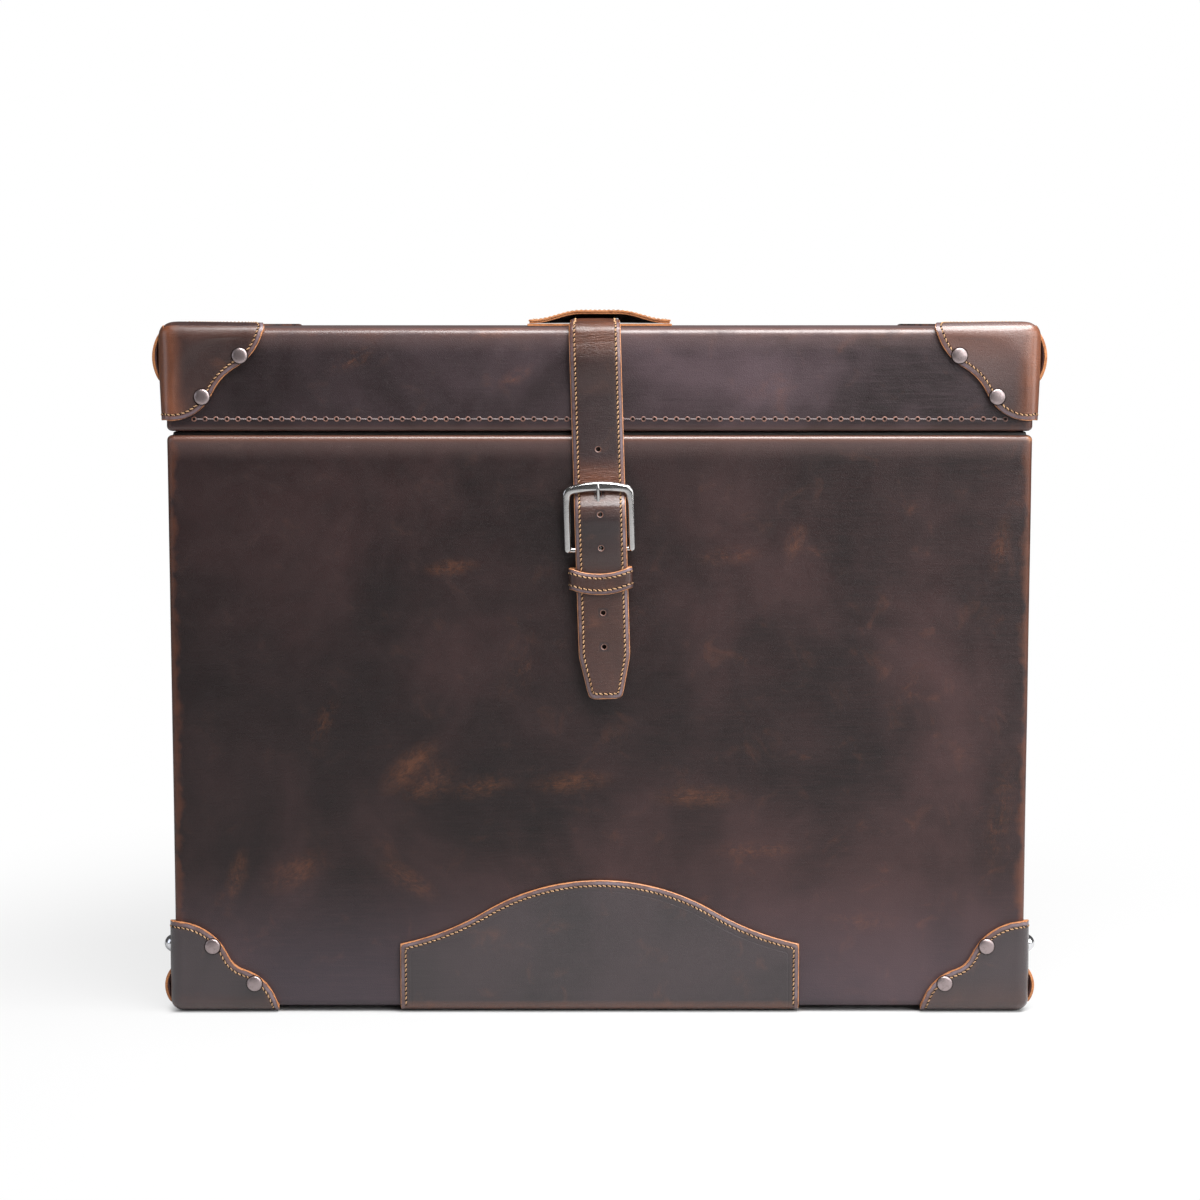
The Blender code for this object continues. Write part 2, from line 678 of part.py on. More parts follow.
def strap():
    """One strap in two pieces: the run fixed on the lid, and the front run that lifts out of the buckle."""
    half = STRAP_WIDTH / 2
    rise = GRIP_PAD_TOP - LID_TOP
    rear = HALF_DEPTH - STRAP_REAR_MARGIN
    pad_edge = GRIP_DEPTH / 2
    ramp = 0.012
    stops = [rear, pad_edge + ramp, pad_edge, -pad_edge, -pad_edge - ramp]
    heights = [0, 0, rise, rise, 0]
    path = [(y, LID_TOP + SEAT + h) for y, h in zip(stops, heights)]
    radius = CORNER_RADIUS + SEAT
    for k in range(ARC_STEPS + 1):
        angle = math.pi / 2 * k / ARC_STEPS
        path.append((
            -HALF_DEPTH + CORNER_RADIUS - radius * math.sin(angle),
            STRAP_SPLIT_Z + radius * math.cos(angle),
        ))
    rows = [[(STRAP_TOP_X + sx * half, y, z) for sx in (-1, 1)] for y, z in path]
    grid_sheet("strap_top", rows, STRAP_HIDE, STRAP_LEATHER, facing=(0, -0.3, 1))
    rows = []
    for z in strap_levels():
        y = -HALF_DEPTH - strap_stand_off(z)
        centre, reach = strap_centre(z), strap_half_width(z)
        rows.append([(centre + sx * reach, y, z) for sx in (-1, 1)])
    front = grid_sheet("strap_front", rows, STRAP_HIDE, STRAP_LEATHER, facing=(0, -1, 0))
    for drop in HOLE_DROPS:
        z = LID_TOP - drop
        x = strap_centre(z)
        ends = ((x, -HALF_DEPTH, z), (x, -HALF_DEPTH - 0.030, z))
        combine(front, cylinder_mesh("hole", HOLE_RADIUS, *ends, sides=10), "DIFFERENCE")
    slot_x = strap_centre((BULGE_Z + TOP_BAR_Z) / 2) + BUCKLE_OFFSET
    low = (slot_x - PRONG_SLOT_WIDTH / 2, -HALF_DEPTH - 0.030, BULGE_Z - 0.001)
    high = (slot_x + PRONG_SLOT_WIDTH / 2, -HALF_DEPTH, TOP_BAR_Z - BUCKLE_TOP_BAR / 2 - 0.001)
    combine(front, box_mesh("slot", low, high), "DIFFERENCE")
    return front


def heel_bar_axis():
    """Carries the buckle's pieces on the heel bar's axis, tilted with the strap."""
    centre = (strap_centre(HEEL_Z) + BUCKLE_OFFSET, -HALF_DEPTH - HEEL_STAND_OFF, HEEL_Z)
    carrier = empty("heel_bar_axis", centre, TRUNK)
    carrier.rotation_euler = (0, -STRAP_LEAN, 0)
    return carrier


def mesh_of_curve(obj):
    """The curve's solid as a mesh object with its caps welded."""
    bpy.context.view_layer.update()
    graph = bpy.context.evaluated_depsgraph_get()
    mesh = bpy.data.meshes.new_from_object(obj.evaluated_get(graph))
    bm = bmesh.new()
    bm.from_mesh(mesh)
    bmesh.ops.remove_doubles(bm, verts=bm.verts, dist=0.00001)
    bm.to_mesh(mesh)
    bm.free()
    made = bpy.data.objects.new(obj.name, mesh)
    made.parent = obj.parent
    made.matrix_world = obj.matrix_world
    bpy.data.objects.remove(obj, do_unlink=True)
    PARTS.objects.link(made)
    return made


def buckle_frame(carrier):
    """A square frame with a slightly arched top bar, bevelled all round, on a round heel bar."""
    inner = BUCKLE_WINDOW / 2
    outer = inner + BUCKLE_ARM
    top = BUCKLE_REACH + BUCKLE_TOP_BAR / 2
    under = BUCKLE_REACH - BUCKLE_TOP_BAR / 2
    foot = -BUCKLE_ARM / 2

    def arched_corner(half, level, radius, arch):
        """Points from the left arm, over one rounded corner, along the arched bar to the middle."""
        centre = Vector((-half + radius, level - arch - radius))
        points = [centre + radius * Vector((-math.cos(a), math.sin(a)))
                  for a in (math.radians(90 * k / 4) for k in range(5))]
        start = points[-1].x
        spans = 4
        for k in range(1, spans + 1):
            x = start + (0 - start) * k / spans
            points.append(Vector((x, level - arch * (x / start) ** 2)))
        return points

    left_outer = [Vector((-outer + BUCKLE_ARM * 0.2, foot)), Vector((-outer, foot + BUCKLE_ARM * 0.25))]
    left_outer += arched_corner(outer, top, BUCKLE_CORNER, BUCKLE_ARCH)
    left_inner = [Vector((-inner - BUCKLE_ARM * 0.2, foot)), Vector((-inner, foot + BUCKLE_ARM * 0.25))]
    left_inner += arched_corner(inner, under, BUCKLE_INNER_CORNER, BUCKLE_ARCH / 2)
    outline = left_outer + [Vector((-p.x, p.y)) for p in left_outer[-2::-1]]
    outline += [Vector((-p.x, p.y)) for p in left_inner[:-1]] + left_inner[::-1]
    curve = bpy.data.curves.new("buckle_frame", "CURVE")
    curve.dimensions = "2D"
    curve.fill_mode = "BOTH"
    curve.extrude = BUCKLE_THICKNESS / 2 - BUCKLE_BEVEL
    curve.bevel_depth = BUCKLE_BEVEL
    curve.bevel_resolution = 1
    curve.offset = -BUCKLE_BEVEL
    line = curve.splines.new("POLY")
    line.points.add(len(outline) - 1)
    for point, place in zip(line.points, outline):
        point.co = (place.x, place.y, 0, 1)
    line.use_cyclic_u = True
    flat = bpy.data.objects.new("buckle_frame", curve)
    flat.parent = carrier
    tilt = math.atan2(TOP_BAR_STAND_OFF - HEEL_STAND_OFF, BUCKLE_REACH)
    flat.rotation_euler = (math.pi / 2 + tilt, 0, 0)
    PARTS.objects.link(flat)
    made = mesh_of_curve(flat)
    made.name = "buckle_frame"
    made.data.materials.clear()
    made.data.materials.append(NICKEL)
    reach = inner + BUCKLE_ARM / 2
    bar = cylinder_mesh("heel_bar", HEEL_BAR_RADIUS, (-reach, 0, 0), (reach, 0, 0), 16)
    return smooth(combine(made, bar, "UNION"), 30)


def prong(carrier):
    """A round tongue that turns on the heel bar and rests across the top bar."""
    rest = TOP_BAR_STAND_OFF + BUCKLE_THICKNESS / 2 + SEAT + PRONG_RADIUS - HEEL_STAND_OFF
    lift = math.atan2(rest, BUCKLE_REACH)
    length = math.hypot(rest, BUCKLE_REACH) + BUCKLE_TOP_BAR / 2 - PRONG_OVERHANG
    ring_inner = HEEL_BAR_RADIUS + RUNNING_CLEARANCE
    ring_outer = ring_inner + PRONG_RADIUS
    direction = Vector((0, -math.sin(lift), math.cos(lift)))
    half = PRONG_RADIUS + 0.0004
    eye = cylinder_mesh("prong", ring_outer, (-half, 0, 0), (half, 0, 0), 20)
    made = add("prong", eye, NICKEL, carrier)
    start = direction * (ring_inner + PRONG_RADIUS / 2)
    shaft = bmesh.new()
    bmesh.ops.create_cone(
        shaft, cap_ends=True, segments=12, radius1=PRONG_RADIUS, radius2=PRONG_RADIUS * 0.8,
        depth=length - start.length,
    )
    turn = Vector((0, 0, 1)).rotation_difference(direction).to_matrix()
    bmesh.ops.rotate(shaft, matrix=turn, verts=shaft.verts)
    bmesh.ops.translate(shaft, vec=(start + direction * length) / 2, verts=shaft.verts)
    combine(made, mesh_from("shaft", shaft), "UNION")
    bore = cylinder_mesh("bore", ring_inner, (-0.010, 0, 0), (0.010, 0, 0), 20)
    return smooth(combine(made, bore, "DIFFERENCE"), 35)


def chape(carrier):
    """Hide folded round the heel bar, both ends down the front of the case, slotted for the prong."""
    half = CHAPE_WIDTH / 2
    back = -(SEAT - HEEL_STAND_OFF)
    front_low = HEEL_STAND_OFF - CHAPE_FRONT_BACK
    end = -CHAPE_LENGTH
    inner = CHAPE_INNER
    path = [(HEEL_STAND_OFF - SEAT - CHAPE_LEATHER, end), (inner, -0.004)]
    steps = 8
    path += [(inner * math.cos(a), inner * math.sin(a))
             for a in (math.pi * k / steps for k in range(steps + 1))]
    drop = KEEPER_TOP - HEEL_Z + 0.001
    path += [(-inner, -0.003), (front_low, drop), (front_low, end + 0.004)]
    rows = [[(sx * half, y, z) for sx in (-1, 1)] for y, z in path]
    made = grid_sheet("chape", rows, STRAP_HIDE, CHAPE_LEATHER, carrier, facing=(0, 0, 1))
    reach = CHAPE_SLOT / 2
    low = (-reach, -HEEL_STAND_OFF - 0.010, -HEEL_BAR_RADIUS - 0.0060)
    high = (reach, back + 0.004, inner + CHAPE_LEATHER + 0.002)
    return combine(made, box_mesh("slot", low, high), "DIFFERENCE")


def keeper(carrier):
    """A loop of hide through the fold of the chape and round the strap."""
    half = STRAP_WIDTH / 2 + KEEPER_SIDE_CLEARANCE
    near = HEEL_STAND_OFF - KEEPER_BACK - KEEPER_LEATHER
    far = HEEL_STAND_OFF - KEEPER_FRONT
    radius, steps = KEEPER_INNER_RADIUS, 3
    section = []
    corners = ((1, near, 0), (-1, near, 1), (-1, far, 2), (1, far, 3))
    for sx, y, quarter in corners:
        inward = -1 if y == near else 1
        for k in range(steps + 1):
            angle = math.radians(90 * (quarter + k / steps))
            section.append((
                sx * (half - radius) + radius * math.cos(angle),
                y + inward * radius + radius * math.sin(angle),
            ))
    top, bottom = KEEPER_TOP - HEEL_Z, KEEPER_BOTTOM - HEEL_Z
    rows = [[(x, y, top), (x, y, bottom)] for x, y in section]
    bm = bmesh.new()
    verts = [[bm.verts.new(p) for p in row] for row in rows]
    for k, near_row in enumerate(verts):
        far_row = verts[(k + 1) % len(verts)]
        bm.faces.new((near_row[0], near_row[1], far_row[1], far_row[0]))
    middle = Vector((0, (near + far) / 2, (top + bottom) / 2))
    turn_outward(bm, lambda face: face.normal.dot(face.calc_center_median() - middle))
    made = add("keeper_loop", mesh_from("keeper_loop", bm), STRAP_HIDE, carrier)
    return smooth(thicken(made, KEEPER_LEATHER, 1))


def grip():
    """A raised strip along the lid, over a flat pad; the strap passes between them."""
    half_depth = GRIP_DEPTH / 2
    pad_half = GRIP_LENGTH / 2 + 0.001
    low = (-pad_half, -half_depth, LID_TOP + SEAT)
    high = (pad_half, half_depth, GRIP_PAD_TOP)
    add("grip_pad", box_mesh("grip_pad", low, high), GRIP_HIDE)
    crest = SEAT + STRAP_LEATHER + GRIP_CLEARANCE
    flat, steps = GRIP_FLAT / 2, 7
    reach = GRIP_LENGTH / 2
    side = [(reach - 0.003 - (reach - 0.003 - flat) * k / steps, k / steps) for k in range(steps + 1)]
    rises = [(reach, 0.0)] + [(x, crest * 0.5 * (1 - math.cos(math.pi * s))) for x, s in side]
    profile = [(-x, h) for x, h in rises] + [(x, h) for x, h in rises[::-1]]
    base = GRIP_PAD_TOP + SEAT
    rows = [[(x, sy * half_depth, base + h) for sy in (-1, 1)] for x, h in profile]
    return grid_sheet("grip_strip", rows, GRIP_HIDE, GRIP_LEATHER, facing=(0, 0, 1))


def strap_rivets():
    """Two rivets hold the strap's rear end to the lid."""
    y = HALF_DEPTH - STRAP_REAR_MARGIN - 0.012
    z = LID_TOP + SEAT + STRAP_LEATHER + SEAT
    for hand, sx in (("left", -1), ("right", 1)):
        place = (STRAP_TOP_X + sx * STRAP_WIDTH / 4, y, z)
        turned(f"strap_{hand}_rivet", rivet_profile(RIVET_RADIUS, RIVET_RISE), place, (0, 0, 1), NICKEL)


def hinge_leaf(name, centre_x, way, knuckles):
    """A plate on the back of the case with its knuckles rolled round the pin."""
    half = HINGE_LENGTH / 2
    near, far = HALF_DEPTH + SEAT, HALF_DEPTH + SEAT + HINGE_LEAF
    clear = HINGE_BARREL_RADIUS + KNUCKLE_GAP
    plate_z = sorted((HINGE_AXIS_Z + way * clear, HINGE_AXIS_Z + way * (clear + HINGE_LEAF_HEIGHT)))
    low = (centre_x - half, near, plate_z[0])
    high = (centre_x + half, far, plate_z[1])
    made = add(name, box_mesh(name, low, high), STEEL)
    web_z = sorted((HINGE_AXIS_Z, HINGE_AXIS_Z + way * (clear + 0.002)))
    for start, end in knuckles:
        ends = ((centre_x + start, HINGE_AXIS_Y, HINGE_AXIS_Z), (centre_x + end, HINGE_AXIS_Y, HINGE_AXIS_Z))
        web = box_mesh("web", (ends[0][0], near, web_z[0]), (ends[1][0], far, web_z[1]))
        combine(made, web, "UNION")
        combine(made, cylinder_mesh("knuckle", HINGE_BARREL_RADIUS, *ends, sides=20), "UNION")
    bore_ends = ((centre_x - HINGE_LENGTH, HINGE_AXIS_Y, HINGE_AXIS_Z), (centre_x + HINGE_LENGTH, HINGE_AXIS_Y, HINGE_AXIS_Z))
    bore = cylinder_mesh("bore", HINGE_PIN_RADIUS + RUNNING_CLEARANCE, *bore_ends, sides=16)
    return smooth(combine(made, bore, "DIFFERENCE"), 35)


def hinges():
    """Two butt hinges: the body leaf has the outer knuckles, the lid leaf the middle one."""
    half, third = HINGE_LENGTH / 2, HINGE_LENGTH / 6
    for hand, sx in (("left", -1), ("right", 1)):
        centre = sx * HINGE_SPACING / 2
        outer = ((-half, -third - KNUCKLE_GAP), (third + KNUCKLE_GAP, half))
        hinge_leaf(f"{hand}_hinge_body_leaf", centre, -1, outer)
        hinge_leaf(f"{hand}_hinge_lid_leaf", centre, 1, ((-third, third),))
        pin_half = half + 0.001
        ends = ((centre - pin_half, HINGE_AXIS_Y, HINGE_AXIS_Z), (centre + pin_half, HINGE_AXIS_Y, HINGE_AXIS_Z))
        pin = add(f"{hand}_hinge_pin", cylinder_mesh("pin", HINGE_PIN_RADIUS, *ends, sides=16), STEEL)
        smooth(pin)


def main():
    walls("body", BODY_FLOOR, BODY_RIM, BODY_BOARD)
    shell("body_leather", BODY_FLOOR, BODY_RIM, BODY_BOARD)
    lining("body_lining", BODY_FLOOR, BODY_RIM, BODY_BOARD)
    collar()
    walls("lid", LID_TOP, LID_EDGE, LID_BOARD)
    shell("lid_leather", LID_TOP, LID_EDGE, LID_BOARD)
    lining("lid_lining", LID_TOP, LID_EDGE, LID_BOARD)
    caps()
    corner_fasteners()
    arched_patch()
    strap()
    strap_rivets()
    carrier = heel_bar_axis()
    buckle_frame(carrier)
    prong(carrier)
    chape(carrier)
    keeper(carrier)
    grip()
    hinges()


main()
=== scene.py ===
"""Leather trunk: hides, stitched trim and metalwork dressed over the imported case.

Metres, +Z up, and the front faces -Y. It is laid out as an add-on and run as a script.
"""

import math

import bmesh
import bpy
from bpy.props import FloatProperty, FloatVectorProperty, PointerProperty
from mathutils import Matrix, Vector, noise
from mathutils.bvhtree import BVHTree


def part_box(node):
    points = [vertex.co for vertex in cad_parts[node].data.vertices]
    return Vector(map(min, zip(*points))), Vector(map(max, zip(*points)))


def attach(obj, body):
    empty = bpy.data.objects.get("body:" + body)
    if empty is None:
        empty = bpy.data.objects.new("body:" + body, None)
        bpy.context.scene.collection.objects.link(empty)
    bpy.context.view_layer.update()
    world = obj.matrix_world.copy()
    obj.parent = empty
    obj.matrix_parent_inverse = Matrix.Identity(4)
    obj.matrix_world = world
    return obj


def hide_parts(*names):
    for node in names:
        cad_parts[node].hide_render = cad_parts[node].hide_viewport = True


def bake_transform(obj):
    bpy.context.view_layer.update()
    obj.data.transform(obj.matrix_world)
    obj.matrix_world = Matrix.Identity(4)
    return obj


bl_info = {
    "name": "Leather trunk",
    "version": (1, 0, 0),
    "blender": (4, 5, 0),
    "location": "3D View > Sidebar > Trunk",
    "description": "Dresses a board case with hides, stitched caps, a strap and its buckle",
    "category": "Object",
}

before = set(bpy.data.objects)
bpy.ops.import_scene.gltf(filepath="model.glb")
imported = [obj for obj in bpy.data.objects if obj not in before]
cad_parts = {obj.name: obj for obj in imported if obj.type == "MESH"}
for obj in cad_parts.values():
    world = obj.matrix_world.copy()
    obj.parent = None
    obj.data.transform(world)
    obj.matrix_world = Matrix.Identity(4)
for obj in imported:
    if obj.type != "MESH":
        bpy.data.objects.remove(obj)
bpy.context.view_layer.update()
BODY_LOW, BODY_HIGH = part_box("body_leather")
LID_LOW, LID_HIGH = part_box("lid_leather")

# Faces and levels of the case
HALF_WIDTH = BODY_HIGH.x
FRONT, BACK = BODY_LOW.y, BODY_HIGH.y
HALF_DEPTH = (BACK - FRONT) / 2
MIDDLE_Y = (BACK + FRONT) / 2
BODY_FLOOR, BODY_RIM = BODY_LOW.z, BODY_HIGH.z
LID_EDGE, LID_TOP = LID_LOW.z, LID_HIGH.z
CORNER_RADIUS = 0.006
LEAST_RADIUS = 0.0006
SEAT = 0.0003
GLUE_LINE = 0.0004
SHELL_LEATHER = 0.0025
BODY_BOARD = 0.006
LID_BOARD = 0.005
TURN_IN = 0.014
RIM_RADIUS = 0.0038
LINING = 0.0012
HIDE_WAVE = 0.0004
LINING_WAVE = 0.0005
# The bead inside the body's rim, which keeps light out of the joint and is painted dark as shadow: (inset,
# rise over the rim)
JOINT_BEAD = ((0.0044, 0.0), (0.0046, 0.0018), (0.0052, 0.0024), (0.0068, 0.0024), (0.0074, 0.0))
BEAD_CORNER = 0.0020
# A distance to the rim that marks the bead
IN_JOINT = 9.0
# How far the lid's seam ends from the corners and from the middle of a hinge
LID_SEAM_CLEAR = 0.021
HINGE_CLEAR = 0.034

# Width of the tan line along a cut edge
RAW_LINE = 0.0005
FINE_RAW_LINE = 0.0004
WIDE_RAW_LINE = 0.0007
# Share of the way between two needle holes that a stitch covers
STITCH_COVER = 0.86
# How far the dark disc of a needle hole lies off the leather
DISC_LIFT = 0.00006
# Thread of a seam: (radius, slant of a stitch, radius of a needle hole)
TRIM_THREAD = (0.00050, 0.9, 0.00080)
LOOP_THREAD = (0.00052, 0.9, 0.00080)
STRAP_THREAD = (0.00054, 1.0, 0.00085)
LID_THREAD = (0.00058, 0.2, 0.00115)
LID_COVER = 0.94
LID_DISC_LIFT = 0.0003
# The lip pushed up round each of the lid's needle holes: (radius, height)
LIP = ((0.0011, 0.0001), (0.00135, 0.00048), (0.0016, 0.00045), (0.0019, 0.0002), (0.0022, -0.0002))

# Corner caps: each outline is two round lobes (along, down, radius) joined by a hollow waist
CAP_LEATHER = 0.0035
CAP_RADIUS = 0.010
LID_CAP = {
    "long": (0.0359, -0.0039, 0.0419), "upright": (0.0078, 0.0380, 0.0339),
    "waist": 0.045, "bulge": 0.0012, "reach": 0.036, "pillow": 0.0040,
}
BASE_CAP = {
    "long": (0.0455, -0.0020, 0.0366), "upright": (0.0043, 0.0263, 0.0436),
    "waist": 0.020, "bulge": 0.0006, "reach": 0.018, "pillow": 0.0004,
}
PILLOW_REACH = 0.030
# Share of its swelling that a cap's top wing keeps, and share of its height that a thinned wing loses
TOP_WING_SWELL = 0.4
SKIVED = 0.7
# Rubbing on the caps of each side, stronger on the right, where it also paints the highlight of the light at
# the right: (strength on the lid, on the base, how far from the corner it goes)
CAP_RUBBING_AND_SHEEN = {-1: (0.30, 0.18, 0.018), 1: (0.48, 0.18, 0.034)}
FOLD_LEATHER = 0.0022
FOLD_SEAM = 0.0042
FOLD_BACK = 0.010
# Folds beside the caps: (foot, head, how far they gape, how far back they go)
LID_FOLD = (LID_TOP - 0.040, LID_TOP - 0.003, 0.0066, 0.024)
BASE_FOLD = (0.006, 0.032, 0.0052, 0.014)
LID_RIVETS = ((0.0559, 0.0204), (0.0277, 0.0506))
BASE_RIVETS = ((0.0603, 0.0191), (0.0292, 0.0476))
BASE_STUD = (0.0292, 0.0425)
# Domed heads: (radius, rise, how round the dome is, finish)
HEADS = {
    "rivet": (0.00575, 0.0020, 0.55, "antique_nickel"), "stud": (0.0070, 0.0078, 1.0, "bright_nickel"),
}
HEAD_LIFT = 0.0005

# Arched patch on the front
PATCH_LEATHER = 0.0026
PATCH_HALF_WIDTH = 0.1500
PATCH_SHOULDER = 0.0529
PATCH_CROWN = 0.1015
PATCH_CROWN_RADIUS = 0.168
PATCH_SHOULDER_RADIUS = 0.206
PATCH_UNDER = 0.030

# Strap
STRAP_LEATHER = 0.0038
STRAP_BOW = 0.0029
STRAP_HALF = 0.019
STRAP_TOP_X = -0.0036
STRAP_LEAN = math.radians(1.75)
STRAP_REAR_MARGIN = 0.035
STRAP_TAPER = 0.032
STRAP_TIP_HALF = 0.01225
STRAP_TOP_Z = LID_TOP - CORNER_RADIUS
STRAP_TIP_Z = LID_TOP - 0.2738
PAD_LEATHER = 0.0018
PAD_RISE = SEAT + PAD_LEATHER
HEEL_Z = LID_TOP - 0.1631
HEEL_STAND_OFF = 0.0050
TOP_BAR_Z = HEEL_Z + 0.0472
DIVE_Z = TOP_BAR_Z - 0.0006
BULGE_Z = TOP_BAR_Z - 0.0190
KEEPER_TOP = LID_TOP - 0.1860 + 0.00875
KEEPER_BOTTOM = KEEPER_TOP - 0.0175
# (height, how far the strap's back stands from the case)
STRAP_RUN = (
    (DIVE_Z, SEAT), (BULGE_Z, 0.0126), (HEEL_Z, 0.0103),
    (KEEPER_TOP, 0.0082), (KEEPER_BOTTOM, 0.0082), (STRAP_TIP_Z, 0.0070),
)
# Across one half of the strap's face: (share of the half width, lift over the flat)
STRAP_FACE = (
    (0.22, 0.0002), (0.60, 0.0001), (0.76, -0.0001), (0.84, -0.0003),
    (0.91, -0.0004), (0.97, -0.0008), (1.0, -0.0012),
)
STRAP_HOLES = (0.4250, 0.3775, 0.3530, 0.3290, 0.3047, 0.2793)
HOLE_RADIUS = 0.0017
# Slot for the prong: (height, half width, half height)
PRONG_SLOT = (0.3902, 0.0021, 0.0033)
# Half heights of the cells of the strap's grid that a hole or the slot is cut in
HOLE_CELL = 0.004
SLOT_CELL = 0.0045

# Buckle
BUCKLE_WINDOW = 0.041
BUCKLE_ARM = 0.0058
BUCKLE_TOP_BAR = 0.0074
BUCKLE_THICKNESS = 0.0046
BUCKLE_REACH = 0.0472
TOP_BAR_STAND_OFF = 0.0097
BUCKLE_OFFSET = -0.0010
HEEL_BAR_RADIUS = 0.002
PRONG_RADIUS = 0.0016
CHAPE_LEATHER = 0.0024
CHAPE_HALF = 0.018
CHAPE_END = -0.052
KEEPER_LEATHER = 0.0022
KEEPER_SINK = 0.0042
KEEPER_FRONT_RADIUS = 0.0036
KEEPER_BACK_RADIUS = 0.0014

# Grip on the lid
GRIP_REACH = 0.055
GRIP_HALF_DEPTH = 0.015
GRIP_CREST = 0.0073
GRIP_FLAT = 0.014
GRIP_FOOT = 0.003
GRIP_SEAM = 0.0036
GRIP_LOWER = 0.0014
GRIP_UPPER = 0.0015
# Where the strip's rear edge sinks: (how far over the strap, the strap's half width, the ramp beside it)
GRIP_DROOP = (0.0037, 0.0192, 0.0010)

# Hinges
HINGE_X = 0.200
HINGE_AXIS_Z = (BODY_RIM + LID_EDGE) / 2
HINGE_LEAF = 0.0016
HINGE_LEAF_FACE = BACK + SEAT + HINGE_LEAF
HINGE_KNUCKLE = 0.0036
# Screws: (across from the leaf's middle, away from the knuckle)
HINGE_SCREWS = ((-0.022, 0.010), (0.0, 0.018), (0.022, 0.010))
SCREW_RADIUS, SCREW_RISE = 0.0030, 0.0007


# Shader nodes


def fill(tree, node, inputs):
    """Puts values or links on a node's inputs."""
    for key, value in inputs:
        socket = node.inputs[key]
        if isinstance(value, bpy.types.NodeSocket):
            tree.links.new(value, socket)
        else:
            socket.default_value = value


def put(tree, kind, inputs=(), **settings):
    """A shader node with its settings, and with values or links on its inputs."""
    node = tree.nodes.new("ShaderNode" + kind)
    for key, value in settings.items():
        setattr(node, key, value)
    fill(tree, node, dict(inputs).items())
    return node


def maths(tree, operation, *values, clamp=False):
    return put(tree, "Math", enumerate(values), operation=operation, use_clamp=clamp).outputs[0]


def eased(tree, value, low, high, first=0.0, last=1.0):
    """A smooth step of value between two levels."""
    limits = {"Value": value, "From Min": low, "From Max": high, "To Min": first, "To Max": last}
    return put(tree, "MapRange", limits, interpolation_type="SMOOTHSTEP").outputs["Result"]


def mixed(tree, share, first, second):
    """A colour between two others."""
    return put(tree, "Mix", {0: share, 6: first, 7: second}, data_type="RGBA").outputs[2]


def stretched(tree, vector, scale):
    return put(tree, "Mapping", {"Vector": vector, "Scale": scale}).outputs["Vector"]


def clouds(tree, vector, scale, detail, roughness=0.55, distortion=0.0):
    """Noise between 0 and 1."""
    values = {
        "Vector": vector, "Scale": scale, "Detail": detail,
        "Roughness": roughness, "Distortion": distortion,
    }
    return put(tree, "TexNoise", values).outputs["Fac"]


def group(name, inputs, outputs):
    """A node group with named sockets: (tree, its input node's outputs, its output node's inputs)."""
    tree = bpy.data.node_groups.new(name, "ShaderNodeTree")
    for label, kind, default in inputs:
        socket = tree.interface.new_socket(label, in_out="INPUT", socket_type=f"NodeSocket{kind}")
        socket.default_value = default
    for label in outputs:
        tree.interface.new_socket(label, in_out="OUTPUT", socket_type="NodeSocketFloat")
    taken = tree.nodes.new("NodeGroupInput").outputs
    given = tree.nodes.new("NodeGroupOutput").inputs
    return tree, taken, given


def give(tree, given, values):
    """Links a group's results to its outputs."""
    for label, value in values.items():
        tree.links.new(value, given[label])
    return tree


def use(tree, name, inputs):
    """Places a node group in a tree and gives its outputs."""
    node = tree.nodes.new("ShaderNodeGroup")
    node.node_tree = GROUPS[name]()
    fill(tree, node, inputs.items())
    return node.outputs


def built_once(make):
    """Builds a node group or a material the first time it is asked for."""
    kept = {}

    def wrapped(*values):
        if values not in kept:
            kept[values] = make(*values)
        return kept[values]

    return wrapped


@built_once
def hide_grain():
    """Tanned hide: broad mottling, clouding, brushed fibres, and a height for pores and creases."""
    tree, taken, given = group(
        "Hide grain",
        [("Vector", "Vector", (0, 0, 0)), ("Pores per metre", "Float", 950.0)],
        ["Mottle", "Cloud", "Fibre", "Height"],
    )
    vector = taken["Vector"]
    fibre = clouds(tree, stretched(tree, vector, (28, 60, 620)), 1.0, 4.0, 0.7)
    pores = put(
        tree, "TexVoronoi", {"Vector": vector, "Scale": taken["Pores per metre"], "Randomness": 1.0},
        feature="DISTANCE_TO_EDGE",
    ).outputs["Distance"]
    pebble = eased(tree, pores, 0.0, 0.22)
    wrinkle = clouds(tree, stretched(tree, vector, (120, 200, 520)), 1.0, 3.0, 0.6, 1.2)
    height = maths(tree, "MULTIPLY_ADD", pebble, 0.35, maths(tree, "MULTIPLY", wrinkle, 0.65))
    return give(tree, given, {
        "Mottle": clouds(tree, vector, 7.0, 4.0, 0.6, 0.4),
        "Cloud": clouds(tree, vector, 42.0, 5.0, 0.62, 0.6),
        "Fibre": fibre,
        "Height": maths(tree, "MULTIPLY_ADD", fibre, 0.35, height),
    })


